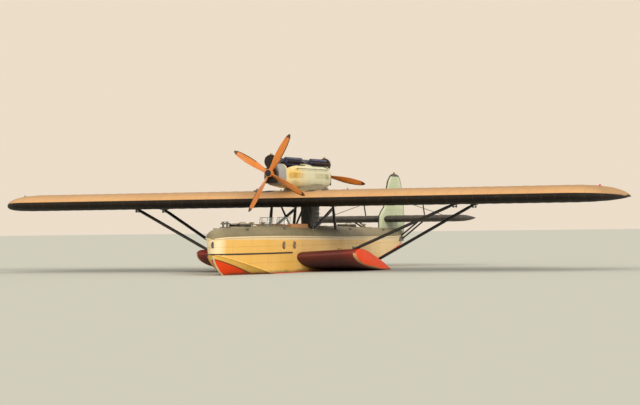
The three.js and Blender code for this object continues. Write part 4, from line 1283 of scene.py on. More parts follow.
# %% [markdown]
# A radiator stands at each end of the housing: a round header tank above a waisted core. The core is a
# honeycomb of thin tubes, far too many to model, so it is relief: ridges that cross at a fixed pitch. The
# slats that shut it in cold weather are real forms.

# %% Radiators
CELL_PITCH = 0.011
SLATS_IN_A_SET = 6
# columns: name, y of the core's face, way that it faces
RADIATORS = [("front", -2.79, -1), ("rear", 1.94, 1)]


def core_paint():
    """Blackened honeycomb: height = the sum of ridges across x and across a slanting line."""
    paint = Paint("radiator_core", tone(46, 40, 34), 0.45, 0.6)
    weather(paint, tone(70, 56, 40), patch=5.0)
    paint.height = paint.x.to_line(CELL_PITCH) * 80 + (paint.z + paint.x * 0.5).to_line(CELL_PITCH) * 80
    return paint.done(0.002)


RADIATOR_CORE = core_paint()
slat = spun(cuboid(ORIGIN, (0.38, 0.004, 0.026)), radians(12), "x")
slat_heights = [z for ends in ((2.965, 3.15), (3.56, 3.78)) for z in np.linspace(*ends, SLATS_IN_A_SET)]
for end, face_y, way in RADIATORS:
    radiator = dress(f"{end}_radiator", "radiator_metal", [STRUT_BLACK, RADIATOR_CORE], bevel=0.008)
    paint_where(radiator, 1, lambda centre, normal: np.abs(normal[:, 1]) > 0.9)
    slats = repeated(slat, [(0, face_y + way * 0.006, z) for z in slat_heights])
    make(f"{end}_radiator_slats", slats, "radiator_metal", STRUT_BLACK)
filler = turned([(0, 0), (0.05, 0), (0.05, 0.035), (0.035, 0.05), (0, 0.055)], 20)
fitting("radiator_fillers", repeated(filler, [(0, -2.726, 3.865), (0, 1.891, 3.865)]), BRASS, bevel=0.003)
print("radiator slats", 2 * SLATS_IN_A_SET)

# %% [markdown]
# A wooden propeller is glued from boards and carved, so its blade twists: nearly edge on at the boss and
# nearly flat at the tip. The leading edge and the tip wear a metal sheath, dark brown as painted shade along
# the edge, and the varnish lets the glue lines show along the blade.

# %% Propellers
PROPELLER_RADIUS = 1.468
BLADE_FOOT = 0.06
SHEATH_START = 0.42
SHEATH_FROM = 0.72
# columns: share of the radius, chord, thickness, pitch angle in degrees
BLADE_LINES = np.array([
    [BLADE_FOOT, 0.150, 0.110, 62],
    [0.2, 0.190, 0.074, 48],
    [0.4, 0.235, 0.048, 34],
    [0.62, 0.235, 0.034, 25],
    [0.82, 0.190, 0.024, 20],
    [0.94, 0.125, 0.017, 18],
    [1, 0.046, 0.012, 17],
])
# columns: radius, height
BOSS = [(0, -0.095), (0.125, -0.095), (0.135, -0.08), (0.135, 0.08), (0.125, 0.095), (0, 0.095)]
PLATE = [(0, -0.006), (0.105, -0.006), (0.11, 0.0), (0.105, 0.006), (0, 0.006)]
NUT = [(0, -0.012), (0.014, -0.012), (0.014, 0.012), (0, 0.012)]
CAP = [(0, -0.02), (0.04, -0.02), (0.036, 0.02), (0.02, 0.03), (0, 0.032)]
# columns: name, hub y, number of blades, first angle in degrees, way that the plate faces
PROPELLERS = [("front", -2.904, 4, 31, -1), ("rear", 2.108, 2, 102, 1)]


def blade():
    """One blade along +Z about the Y axis: ovals of chord c and thickness t, turned by the pitch angle."""
    share = BLADE_FOOT + (1 - BLADE_FOOT) * np.sin(np.linspace(0, pi / 2, 60)) ** 1.2
    _, chord, thickness, pitch = faired(BLADE_LINES, share).T[..., None]
    angle = full_turn(26)[None]
    wide = chord / 2 * np.cos(angle)
    flatter = np.where(np.sin(angle) < 0, 0.55, 1.0)
    thick = thickness / 2 * np.sin(angle) * flatter
    tilt = np.radians(pitch)
    x = wide * np.cos(tilt) - thick * np.sin(tilt)
    y = wide * np.sin(tilt) + thick * np.cos(tilt)
    return loft(points_at(x, y, share[:, None] * PROPELLER_RADIUS))


def wood_paint():
    """Orange varnished boards: growth rings drawn out along the blade, with a glue line at each board."""
    paint = Paint("varnished_wood", tone(212, 128, 48), 0.22, **{"Coat Weight": 0.5, "Coat Roughness": 0.08})
    radius = (paint.x ** 2.0 + (paint.z - SHAFT_Z) ** 2.0) ** 0.5
    grain = paint.noise(5.0, 5.0, stretch=(1.0, 9.0, 1.0))
    paint.over(((grain - 0.45) * 3).clamped() * 0.7, tone(176, 92, 32))
    boards = (paint.y + radius * 0.012).to_line(0.03).within(0.004)
    paint.over(boards * 0.6, tone(128, 58, 20))
    paint.over(((radius - 1.32) / 0.03).clamped(), tone(84, 48, 26))
    paint.height = grain * 0.2
    return paint.done(0.002)


def sheathed(hub, first_angle, count):
    """A test for faces on the outer part of a blade's leading edge, past a share of the half chord."""
    def leads(centre, normal):
        across, _, up = (centre - hub).T
        radius = np.hypot(across, up)
        blade_angle = np.degrees(np.arctan2(across, up)) - first_angle
        off_blade = np.radians((blade_angle + 180 / count) % (360 / count) - 180 / count)
        _, chord, _, pitch = faired(BLADE_LINES, np.clip(radius / PROPELLER_RADIUS, BLADE_FOOT, 1)).T
        half = chord / 2 * np.cos(np.radians(pitch))
        return (radius > SHEATH_START * PROPELLER_RADIUS) & (radius * np.sin(off_blade) > half * SHEATH_FROM)
    return leads


WOOD = wood_paint()
# The sheath's dark brown is also painted shade along the blade's edge.
SHEATH_SHADE = metal_paint("blade_sheath", tone(74, 48, 30), tone(42, 30, 22), 0.35, metallic=0.5)
for prop_name, hub_y, count, first_angle, way in PROPELLERS:
    hub = np.array([0, hub_y, SHAFT_Z])
    body = f"{prop_name}_propeller"
    blades = [spun(blade(), radians(first_angle + 360 * i / count)) for i in range(count)]
    wood = repeated(together(turned(BOSS, 48, "y"), *blades), hub)
    propeller = make(f"{body}_blades", wood, "propeller_wood", [WOOD, SHEATH_SHADE], body=body, stands_for=(body,))
    paint_where(propeller, 1, sheathed(hub, first_angle, count))
    bolt_angle = full_turn(8)
    bolts = points_at(0.08 * np.cos(bolt_angle), way * 0.108, 0.08 * np.sin(bolt_angle))
    cap = turned(CAP, 24, "y")
    if way < 0:
        cap = outward((cap[0] * (1, -1, 1), cap[1]))
    plate = together(turned(PLATE, 40, "y", hub + (0, way * 0.099, 0)),
                     repeated(turned(NUT, 6, "y"), bolts + hub),
                     repeated(cap, hub + (0, way * 0.115, 0)))
    black(f"{prop_name}_hub_plate", plate, body=body, bevel=0.002)
print("propellers", [(row[0], row[2]) for row in PROPELLERS])

# %% [markdown]
# Every strut is a tube in a streamlined fairing, narrower at its ends, where it runs into a cuff. One
# function makes a bar between two points. The section's half breadth over the chord is sin(a) (1 - 0.35
# cos(a)), with the nose at a = pi.

# %% Struts
BAR_END = 0.3
BAR_SIDES = 28
CUFF_LENGTH = 0.16
CUFF_GROWTH = 1.16
CUFF_THICKER = 1.15


def bar(foot, head, chord, thickness, narrow=0.6):
    """A streamlined bar. Its chord lies along Y as far as the bar's own direction allows."""
    foot, head = np.asarray(foot, float), np.asarray(head, float)
    length = np.linalg.norm(head - foot)
    along = (head - foot) / length
    deep = unit(np.array([0, 1.0, 0]) - along * along[1])
    across = np.cross(along, deep)
    reach = np.unique(np.concatenate([
        np.linspace(0, BAR_END, 9), np.linspace(BAR_END, length - BAR_END, 10),
        np.linspace(length - BAR_END, length, 9)]))
    inset = np.minimum(reach, length - reach) / BAR_END
    size = (narrow + (1 - narrow) * np.sin(np.clip(inset, 0, 1) * pi / 2))[:, None, None]
    angle = full_turn(BAR_SIDES)[None, :, None]
    fore = chord / 2 * np.cos(angle) * deep
    wide = thickness / 2 * np.sin(angle) * (1 - 0.35 * np.cos(angle)) * across
    return loft(foot + reach[:, None, None] * along + size * (fore + wide))


def cuffed(foot, head, chord, thickness, narrow=0.6):
    """A bar with a cuff at each end."""
    forms = [bar(foot, head, chord, thickness, narrow)]
    size = narrow * CUFF_GROWTH
    for end, other in ((foot, head), (head, foot)):
        end, other = np.asarray(end, float), np.asarray(other, float)
        inner = end + unit(other - end) * CUFF_LENGTH
        forms.append(bar(end, inner, chord * size, thickness * size * CUFF_THICKER, 0.98))
    return together(*forms)


print("points of a cuffed bar", len(cuffed(ORIGIN, (0, 0, 2), 0.2, 0.1)[0]))

# %% Wing struts and their fittings
FRONT_SPAR_Y = -1.119
REAR_SPAR_Y = 0.927
WING_UNDER_Z = 2.17
STRUT_HEAD_X = 5.806
STRUT_CHORD = 0.23
STRUT_THICKNESS = 0.092
# columns: name, foot x, foot y, foot z, head y
WING_STRUTS = [("front", 2.65, -2.05, 0.735, FRONT_SPAR_Y), ("rear", 2.5, 0.2, 0.29, REAR_SPAR_Y)]
LUG = (0.012, 0.12, 0.12)

bolt_points, bolt_faces = turned([(0, -0.004), (0.016, -0.004), (0.016, 0.012), (0, 0.016)], 6)
bolt_down = outward((bolt_points * (1, 1, -1), bolt_faces))
bolt_places = [(x, y, -0.004) for x in (-0.075, 0.075) for y in (-0.12, -0.04, 0.04, 0.12)]
head_lugs = together(
    cuboid((0, 0, 0.004), (0.2, 0.3, 0.016)), repeated(bolt_down, bolt_places),
    repeated(cuboid((0, 0, -0.06), LUG), [(-0.05, 0, 0), (0.05, 0, 0)]),
    tube([(-0.085, 0, -0.085), (0.085, 0, -0.085)], 0.014, 12))
foot_shoe = together(
    cuboid((0, 0, -0.03), (0.2, 0.32, 0.03)),
    repeated(cuboid((0, 0, 0.03), LUG), [(-0.055, 0, 0), (0.055, 0, 0)]),
    tube([(-0.09, 0, 0.05), (0.09, 0, 0.05)], 0.014, 12))
sponson_run, sponson_fall = SPONSON_AFT - SPONSON_ROOT
foot_shoe = spun(foot_shoe, atan2(sponson_fall, sponson_run), "x")
for strut_name, foot_x, foot_y, foot_z, head_y in WING_STRUTS:
    for side_name, side in SIDES:
        foot, head = (side * foot_x, foot_y, foot_z), (side * STRUT_HEAD_X, head_y, WING_UNDER_Z)
        node = f"wing_strut_{strut_name}_{side_name}"
        black(f"{node}_bar", cuffed(foot, head, STRUT_CHORD, STRUT_THICKNESS), stands_for=(node,))
        ends = together(repeated(head_lugs, head), repeated(foot_shoe, foot))
        fitting(f"{node}_fittings", ends, bevel=0.002)
print("wing struts", [row[0] for row in WING_STRUTS], "on each side")

# %% Cabane
CABANE_HEAD_X = 0.7
CABANE_FOOT_X = 0.8
BRACE_Y = FRONT_SPAR_Y + 0.15
cabane_foot_z = ridge_height(0.0) - 0.23
for side_name, side in SIDES:
    foot_x, head_x = side * CABANE_FOOT_X, side * CABANE_HEAD_X
    bars = [cuffed((foot_x, y, cabane_foot_z), (head_x, y, WING_UNDER_Z + 0.02), 0.19, 0.08, 0.7)
            for y in (FRONT_SPAR_Y, REAR_SPAR_Y)]
    diagonal_foot = (foot_x, FRONT_SPAR_Y, cabane_foot_z + 0.06)
    bars.append(bar(diagonal_foot, (head_x, REAR_SPAR_Y, WING_UNDER_Z - 0.04), 0.12, 0.056))
    black(f"cabane_{side_name}_bars", together(*bars), stands_for=(f"cabane_{side_name}",))
    shoes = []
    for y in (FRONT_SPAR_Y, REAR_SPAR_Y):
        top = deck_height(foot_x, y)
        shoes.append(tube([(foot_x, y, top - 0.03), (foot_x, y, top + 0.012)], 0.09, 28, fore=1.5))
        shoes.append(cuboid((head_x, y, WING_UNDER_Z + 0.004), (0.15, 0.28, 0.016)))
    fitting(f"cabane_{side_name}_shoes", together(*shoes), bevel=0.003)

brace_top = ridge_height(FRONT_SPAR_Y)
braces = [bar((side * 0.11, BRACE_Y, brace_top + 0.003), (side * 0.42, BRACE_Y, WING_UNDER_Z + 0.02),
              0.11, 0.06, 0.8) for _, side in SIDES]
brace_foot = cuboid((0, BRACE_Y, brace_top + 0.013), (0.42, 0.18, 0.02))
black("cabane_brace_bars", together(*braces, brace_foot), bevel=0.003, stands_for=("cabane_braces",))
print("cabane from", round(cabane_foot_z, 3), "up to", WING_UNDER_Z)

# %% [markdown]
# A hollow streamlined pillar carries the controls and pipes up to the engines. It flares where it meets the
# deck and the wing, and the engineer climbs it on rungs let into its port side.

# %% Pylon
PYLON_Y = 0.6
PYLON_CHORD = 1.3
PYLON_BREADTH = 0.42
FLARE = 0.04
FLARE_SHARE = 0.16
RUNG_PITCH = 0.15


def pylon_form():
    """Oval rings from the deck to the wing: half sizes + flare * (1 - sin(pi / 2 * share of the end))."""
    low, high = ridge_height(PYLON_Y) - 0.05, WING_UNDER_Z + 0.05
    t = np.linspace(0, 1, 40)[:, None]
    near_end = np.clip(np.minimum(t, 1 - t) / FLARE_SHARE, 0, 1)
    flare = FLARE * (1 - np.sin(near_end * pi / 2))
    angle = full_turn(64)[None]
    x = (PYLON_BREADTH / 2 + flare) * np.sin(angle) * (1 - 0.25 * np.cos(angle)) / 1.02
    y = PYLON_Y + (PYLON_CHORD / 2 + flare) * np.cos(angle)
    return loft(points_at(x, y, low + (high - low) * t))


def pylon_paint():
    """Dark grey paint with a seam at each frame."""
    paint = Paint("pylon_grey", tone(62, 60, 56), 0.4)
    weather(paint, tone(84, 80, 72), patch=1.4, streak=0.5)
    add_seams(paint, paint.y, paint.z, 0.7, pitch=0.43)
    return paint.done()


black("pylon_fairing", pylon_form(), pylon_paint(), stands_for=("pylon",))
rung = curve((0.18, -0.14, 0), (0.255, -0.13, 0), (0.255, 0.13, 0), (0.18, 0.14, 0), steps=6)
rung_heights = np.arange(ridge_height(PYLON_Y) + 0.12, WING_UNDER_Z - 0.06, RUNG_PITCH)
fitting("pylon_rungs", repeated(tube(rung, 0.011, 10), [(0, PYLON_Y + 0.1, z) for z in rung_heights]))
print("pylon rungs", len(rung_heights))

# %% [markdown]
# The fin and the rudder have a smooth outline and a section that is round in front and fine behind. Both are
# rings one above the other, each as long as the outline is there.

# %% Fin and rudder
STERN_Y = 8.944
RUDDER_HINGE_Y = 9.01
ELEVATOR_HINGE_Y = 8.8
TORQUE_HOLE = 0.052
FIN_HALF = 0.07
RUDDER_HALF = 0.054
# columns: z, front edge y
FIN_FRONT = np.array([[1.3, 7.18], [1.6, 7.19], [1.86, 7.22], [2.05, 7.45], [2.2, 7.74], [2.5, 7.9],
                      [2.95, 8.08], [3.2, 8.22], [3.35, 8.42], [3.44, 8.64], [3.472, 8.82]])
# columns: z, rear edge y
RUDDER_REAR = np.array([[0.8, 9.3], [0.86, 9.52], [1.1, 9.79], [1.6, 9.93], [2.2, 9.88], [2.9, 9.7],
                        [3.2, 9.56], [3.38, 9.38], [3.46, 9.2], [3.47, 9.1]])
RUDDER_HINGE_Z = [1.35, 2.15, 2.75, 3.3]


def ribbed_paint():
    """Pale green cloth over ribs, with a dark cap at the top."""
    paint = Paint("fin_green", tone(190, 198, 168), 0.5)
    weather(paint, tone(172, 184, 152), patch=0.9, streak=0.5)
    add_ribs(paint, paint.z, 0.3, 0.02, 0.35, tone(150, 168, 140))
    top = ((paint.z - 3.36) / 0.02).clamped()
    paint.over(top * 0.9, tone(44, 46, 38))
    return paint.done()


def upright(front, rear, z, half, nose=0.12, tail_half=0.012):
    """Rings at the heights z from a front line to a rear line: a quarter oval nose, then a straight taper."""
    angle = np.linspace(0, pi / 2, 8)
    share = np.concatenate([nose * (1 - np.cos(angle)), np.linspace(nose, 1, 14)[1:]])
    swell = np.concatenate([np.sin(angle), np.linspace(1, tail_half / half, 14)[1:]])
    share = np.concatenate([share, share[::-1]])[None]
    swell = np.concatenate([swell, -swell[::-1]])[None]
    front, rear, z = (np.asarray(v, float).reshape(-1, 1) for v in (front, rear, z))
    y = front + (rear - front) * share
    return points_at(half * swell, y, z)


FIN_GREEN = ribbed_paint()
fin_z = np.linspace(FIN_FRONT[0, 0], FIN_FRONT[-1, 0], 70)
fin_front = np.interp(fin_z, *FIN_FRONT.T)
fin_skin = make_mesh("fin_skin", loft(upright(fin_front, STERN_Y, fin_z, FIN_HALF, tail_half=0.05)))
cut(fin_skin, tube([(-0.6, ELEVATOR_HINGE_Y, TAIL.z), (0.6, ELEVATOR_HINGE_Y, TAIL.z)], TORQUE_HOLE, 32))
finish_piece(fin_skin, "fin_skin", FIN_GREEN, stands_for=("fin",))
edge_path = [(0, y - 0.004, z) for z, y in zip(fin_z[4:], fin_front[4:])] + [(0, STERN_Y, 3.476)]
black("fin_edge", tube(edge_path, 0.022, 10))

rudder_z = np.linspace(RUDDER_REAR[0, 0], RUDDER_REAR[-1, 0], 80)
rudder_rear = faired(RUDDER_REAR, rudder_z)[:, 1]
rudder_rings = upright(RUDDER_HINGE_Y - RUDDER_HALF, rudder_rear, rudder_z, RUDDER_HALF, nose=0.07)
make("rudder_skin", loft(rudder_rings), "fin_skin", FIN_GREEN, body="rudder", stands_for=("rudder",))
rear_path = [(0, y - 0.004, z) for z, y in zip(rudder_z[2:-2], rudder_rear[2:-2])]
black("rudder_edge", tube(rear_path, 0.02, 10), body="rudder")
horn = together(*[cuboid((side * 0.12, RUDDER_HINGE_Y + 0.1, 1.32), (0.16, 0.1, 0.014)) for _, side in SIDES])
fitting("rudder_horn", horn, body="rudder", bevel=0.003)
tab = cuboid((0, 9.85, 1.75), (0.02, 0.06, 0.5))
make("rudder_tab", tab, "fin_skin", FIN_GREEN, body="rudder", bevel=0.003)
lug = together(*[cuboid((0, -0.03, z), (0.05, 0.05, 0.012)) for z in (0, 0.045)])
fitting("rudder_hinges", repeated(lug, [(0, RUDDER_HINGE_Y - 0.035, z) for z in RUDDER_HINGE_Z]))
print("rudder height", round(rudder_z[-1] - rudder_z[0], 2))

# %% [markdown]
# The tailplane is one aerofoil cut at the hinge line. Each elevator is the part behind the hinge and a tip
# that has no fixed part in front of it, and a tube joins the two through the fin.

# %% Tailplane and elevators
ELEVATOR_NOSE = 0.088
ELEVATOR_INNER = 0.5
ELEVATOR_TIP = 0.42
TORQUE_TUBE = 0.04
ELEVATOR_BRACKET_X = (0.9, 1.9, 2.7)


def tail_shade_paint():
    """Near-black fabric, its darkness painted shade, with ribs a little lighter."""
    paint = Paint("tail_charcoal", tone(46, 44, 40), 0.5)
    weather(paint, tone(66, 62, 54), patch=0.9, streak=0.5)
    add_ribs(paint, paint.x, TAIL.rib_pitch, 0.022, 0.5, tone(92, 86, 74))
    return paint.done()


# Near black as painted shade on the tailplane, the elevators and the balance planes.
TAIL_SHADE_CHARCOAL = tail_shade_paint()
behind_y = ELEVATOR_HINGE_Y - ELEVATOR_NOSE - 2 * CLEARANCE
outer_x = TAIL.half_span - ELEVATOR_TIP
for side_name, side in SIDES:
    places = side * span_places(TAIL, FIN_HALF + 0.003, 18)
    half = make_mesh(f"tailplane_{side_name}_skin", loft(ribbed_rings(TAIL, places)))
    cut(half, cuboid((0, behind_y + 1, TAIL.z), (8, 2, 1)))
    finish_piece(half, "tail_skin", TAIL_SHADE_CHARCOAL, stands_for=(f"tailplane_{side_name}",))

    flap_rings = ribbed_rings(TAIL, side * np.arange(ELEVATOR_INNER, outer_x, TAIL.rib_pitch / 6))
    flap = [loft(hinged_rings(flap_rings, ELEVATOR_HINGE_Y, TAIL.z, ELEVATOR_NOSE))]
    if side == 1:
        ends = [(x, ELEVATOR_HINGE_Y, TAIL.z) for x in (ELEVATOR_INNER + 0.05, -ELEVATOR_INNER)]
        flap.append(tube(ends, TORQUE_TUBE, 24))
    make(f"elevator_{side_name}_skin", together(*flap), "tail_skin", TAIL_SHADE_CHARCOAL, body="elevator",
         stands_for=(f"elevator_{side_name}",))

    tip_places = outer_x - 0.002 + (TAIL.half_span - outer_x) * np.linspace(0, 0.99, 14)
    tip = make_mesh(f"elevator_{side_name}_tip", loft(ribbed_rings(TAIL, side * tip_places)))
    cut(tip, cuboid((side * 3, ELEVATOR_HINGE_Y - 1, TAIL.z), (2, 2, 1)))
    finish_piece(tip, "tail_skin", TAIL_SHADE_CHARCOAL, body="elevator")

    brackets = [(side * x, ELEVATOR_HINGE_Y - 0.1, TAIL.z + 0.094) for x in ELEVATOR_BRACKET_X]
    bracket = cuboid(ORIGIN, (0.03, 0.16, 0.02))
    fitting(f"elevator_brackets_{side_name}", repeated(bracket, brackets), bevel=0.002)
print("tail span", 2 * TAIL.half_span)

# %% [markdown]
# A small aerofoil above each elevator takes some of the load off the pilot's arms. Two bars on each side
# hold the tailplane up, and a pair of wires goes from the fin to its tips.

# %% Balance planes, tail struts and wires
BALANCE_X = 1.2
BALANCE_HALF = 0.45
BALANCE_CHORD = 0.38
BALANCE_Z = 2.44
BALANCE_NOSE_Y = 8.57
TAIL_BAR_FOOT_X = 0.455
TAIL_BAR_HEAD_X = 1.3
# columns: foot y, foot z, head y
TAIL_BARS = [(8.25, 1.08, 8.0), (8.45, 0.98, 8.52)]
WIRE_Y = [8.08, 8.2]
WIRE_TOP_Z = 2.62
WIRE_OUT_X = 2.3

for side_name, side in SIDES:
    x = side * BALANCE_X
    span = np.linspace(x - BALANCE_HALF, x + BALANCE_HALF, 12)
    section = aerofoil(np.full(12, BALANCE_CHORD), 0.06, 0.0, 14, 0.006)
    plane = loft(wing_skin(span, section, BALANCE_NOSE_Y, BALANCE_Z))
    post = bar((x, 8.99, TAIL.z + 0.06), (x, 8.76, BALANCE_Z - 0.02), 0.09, 0.04, 0.8)
    make(f"balance_plane_{side_name}_skin", together(plane, post), "tail_skin", TAIL_SHADE_CHARCOAL,
         body="elevator", stands_for=(f"balance_plane_{side_name}",))
    bars = [cuffed((side * TAIL_BAR_FOOT_X, foot_y, foot_z), (side * TAIL_BAR_HEAD_X, head_y, TAIL.z - 0.1),
                   0.09, 0.056, 0.75) for foot_y, foot_z, head_y in TAIL_BARS]
    black(f"tail_bars_{side_name}", together(*bars), stands_for=(f"tail_struts_{side_name}",))
    shoe = cuboid((side * (TAIL_BAR_FOOT_X + 0.015), 8.35, 1.0), (0.06, 0.4, 0.17))
    fitting(f"tail_bar_shoe_{side_name}", shoe, bevel=0.012)
    outer = [(side * WIRE_OUT_X, y - 0.2, TAIL.z + 0.11) for y in WIRE_Y]
    wires = [tube([(side * 0.05, y, WIRE_TOP_Z), end], 0.006, 8) for y, end in zip(WIRE_Y, outer)]
    wires.append(repeated(cuboid(ORIGIN, (0.05, 0.03, 0.04)), outer))
    fitting(f"tail_wires_{side_name}", together(*wires))
tail_lamp = [(0, 0), (0.035, 0), (0.035, 0.05), (0.02, 0.07), (0, 0.075)]
fitting("tail_lamp", turned(tail_lamp, 20, centre=(0, 8.9, 3.475)), BRASS, bevel=0.002)
print("tail bars", len(TAIL_BARS) * 2)

# %% [markdown]
# The two pilots sit side by side in an open cockpit. Its wall is plywood with a leather roll on top,
# stitched down every few centimetres, with green frames on the walls and slatted boards on the floor.

# %% Cockpit lining
ROLL_RADIUS = 0.026
ROLL_LIFT = 0.012
ROLL_STEP = 0.012
STITCH_PITCH = 0.12
ROLL_CORNER = 0.09
STRINGER_Z = [0.86, 1.02, 1.18, 1.32]
BOARD_PITCH = 0.092


def leather_paint(name, colour, other):
    """Waxed leather: two tones, a fine pebbled grain and worn, darker hollows."""
    paint = Paint(name, colour, 0.42)
    weather(paint, other, patch=3.5, streak=0.2)
    grain = paint.noise(160.0, 3.0)
    paint.over(((grain - 0.62) * 3).clamped() * 0.5, tone(48, 26, 16))
    paint.height = grain * 0.5
    return paint.done(0.0015)


def round_corners(low, high, z, corner, steps=10):
    """Points round a rectangle with arcs at its corners, counted from the port side."""
    path = []
    (left, front), (right, rear) = low, high
    for x, y, start in ((right, rear, 0), (left, rear, 90), (left, front, 180), (right, front, 270)):
        turn = np.radians(start + np.linspace(0, 90, steps))
        centre = np.array([x - copysign(corner, x), y + (corner if y == front else -corner)])
        path.append(centre + corner * np.stack([np.cos(turn), np.sin(turn)], -1))
    path = np.concatenate(path)
    return np.column_stack([path, np.full(len(path), z)])


def even_steps(path, step):
    """The closed path again, with its points a given distance apart, and how far along each lies."""
    path = np.concatenate([path, path[:1]])
    gone = np.concatenate([[0], np.cumsum(np.linalg.norm(np.diff(path, axis=0), axis=1))])
    where = np.linspace(0, gone[-1], int(gone[-1] / step))
    return np.stack([np.interp(where, gone, path[:, i]) for i in range(3)], -1), where


def rolled_rim():
    """A closed roll whose radius is R (1 - 0.16 |cos(pi s / pitch)| ^ 12), pinched at the stitches."""
    low = (rim_low.x + ROLL_RADIUS, rim_low.y + ROLL_RADIUS)
    high = (rim_high.x - ROLL_RADIUS, rim_high.y - ROLL_RADIUS)
    corners = round_corners(low, high, rim_high.z - ROLL_RADIUS + ROLL_LIFT, ROLL_CORNER)
    path, gone = even_steps(corners, ROLL_STEP)
    size = ROLL_RADIUS * (1 - 0.16 * np.abs(np.cos(pi * gone / STITCH_PITCH)) ** 12)
    along = unit(np.roll(path, -1, 0)[:-1] - path[:-1])
    across = points_at(along[:, 1], -along[:, 0], 0)
    angle = full_turn(18)[None, :, None]
    ring = np.cos(angle) * across[:, None] + np.sin(angle) * np.array([0, 0, 1.0])
    return closed_loop(path[:-1, None] + size[:-1, None, None] * ring)


BROWN_LEATHER = leather_paint("brown_leather", tone(142, 82, 48), tone(112, 62, 36))
PLYWOOD = metal_paint("varnished_plywood", tone(176, 124, 70), tone(150, 100, 54), 0.35, 1.5, 0.0)
dress("cockpit_coaming", "leather", PLYWOOD, bevel=0.008)
roll = make("cockpit_roll", rolled_rim(), "leather", BROWN_LEATHER)

inside_x, rear_y = cockpit_high[:2]
front_y = cockpit_low[1]
lining = [tube([(x, front_y + 0.01, z), (x, rear_y - 0.01, z)], 0.013, 8)
          for x in (inside_x - 0.008, 0.008 - inside_x) for z in STRINGER_Z]
lining += [cuboid((side * (inside_x - 0.012), y, 1.07), (0.022, 0.03, 0.6))
           for _, side in SIDES for y in np.linspace(front_y + 0.1, rear_y - 0.1, 4)]
make("cockpit_frames", together(*lining), "hull_paint", CABIN_GREEN, bevel=0.002)
board = cuboid((0, cockpit_middle[1], COCKPIT_FLOOR_Z + 0.016), (0.078, rear_y - front_y - 0.02, 0.018))
board_places = [(x, 0, 0) for x in np.arange(-inside_x + 0.06, inside_x - 0.05, BOARD_PITCH)]
make("floor_boards", repeated(board, board_places), "leather", PLYWOOD, bevel=0.003)
print("rim of", round(rim_high.x * 2, 2), "m, boards", len(board_places))

# %% [markdown]
# The dials are cylinders with a black face, a raised bezel, a hand, and white marks every thirty degrees,
# which are a single small bar repeated by turning it.

# %% Instrument panel
PANEL_FACE_Y = -2.4097
# columns: x, z, radius, direction of the hand in degrees
DIALS = [(-0.46, 1.44, 0.05, 40), (-0.31, 1.44, 0.062, 110), (-0.16, 1.44, 0.05, 250),
         (-0.40, 1.335, 0.034, 80), (-0.23, 1.335, 0.034, 200), (0.0, 1.43, 0.075, 0),
         (0.16, 1.44, 0.05, 300), (0.31, 1.44, 0.062, 60), (0.46, 1.44, 0.05, 140),
         (0.23, 1.335, 0.034, 20), (0.40, 1.335, 0.034, 330)]
MARK_TURN = 30
KNOB_X = (-0.54, -0.1, -0.05, 0.05, 0.1, 0.54)
# columns: share of the dial's radius, height
BEZEL = np.array([[0, 0], [1.08, 0], [1.08, 0.006], [1, 0.014], [0.88, 0.014], [0.86, 0.004], [0, 0.004]])
FACE = np.array([[0, 0.003], [0.855, 0.003], [0.855, 0.0055], [0, 0.0055]])

dress("instrument_panel", "dark_paint", PLYWOOD, bevel=0.004)
bezels, dial_faces, marks = [], [], []
for x, z, radius, hand in DIALS:
    centre = (x, PANEL_FACE_Y, z)
    bezels.append(turned(BEZEL * (radius, 1), 32, "y", centre))
    dial_faces.append(turned(FACE * (radius, 1), 32, "y", centre))
    for turn in range(MARK_TURN, 360, MARK_TURN):
        length = radius * (0.2 if turn % 90 == 0 else 0.12)
        mark = cuboid((0, 0.0062, radius * 0.72), (0.0022, 0.001, length))
        marks.append(repeated(spun(mark, radians(turn)), centre))
    needle = cuboid((0, 0.0075, radius * 0.22), (0.003, 0.0012, radius * 0.75))
    marks.append(repeated(spun(needle, radians(hand)), centre))
DIAL_BLACK = metal_paint("dial_black", tone(22, 22, 24), tone(30, 30, 32), 0.3, metallic=0.0)
MARK_WHITE = metal_paint("mark_white", tone(232, 230, 214), tone(220, 216, 196), 0.5, metallic=0.0)
fitting("dial_bezels", together(*bezels), BRASS)
black("dial_faces", together(*dial_faces), DIAL_BLACK)
black("dial_marks", together(*marks), MARK_WHITE)
knob = turned([(0, -0.01), (0.01, -0.01), (0.014, 0.012), (0.01, 0.018), (0, 0.018)], 14, "y")
fitting("panel_knobs", repeated(knob, [(x, PANEL_FACE_Y + 0.01, 1.3) for x in KNOB_X]), BRASS)
print("dials", len(DIALS))

# %% [markdown]
# The control column's wheels get wooden rims with finger grips. Throttle levers for both engines stand in a
# quadrant between the seats, and each pilot has a pair of rudder pedals.

# %% Controls
SEAT_X = 0.31
WHEEL_PLACE = (-2.14, 1.28)
WHEEL_RADIUS = 0.15
RIM_THICKNESS = 0.0152
FINGER_GRIPS = 24
WHEEL_TILT = radians(-30)
LEVER_X = (-0.04, -0.015, 0.015, 0.04)
dress("control_column", "dark_paint", STRUT_BLACK, bevel=0.0)


def wheel_rim():
    """A ring whose thickness swells between the fingers: r (1 + 0.1 cos 24 a)."""
    angle = full_turn(96)[:, None]
    radius = RIM_THICKNESS * (1 + 0.1 * np.cos(FINGER_GRIPS * angle))
    section = full_turn(14)[None]
    reach = WHEEL_RADIUS + radius * np.cos(section)
    rings = points_at(reach * np.cos(angle), radius * np.sin(section), reach * np.sin(angle))
    return spun(closed_loop(rings), WHEEL_TILT, "x")


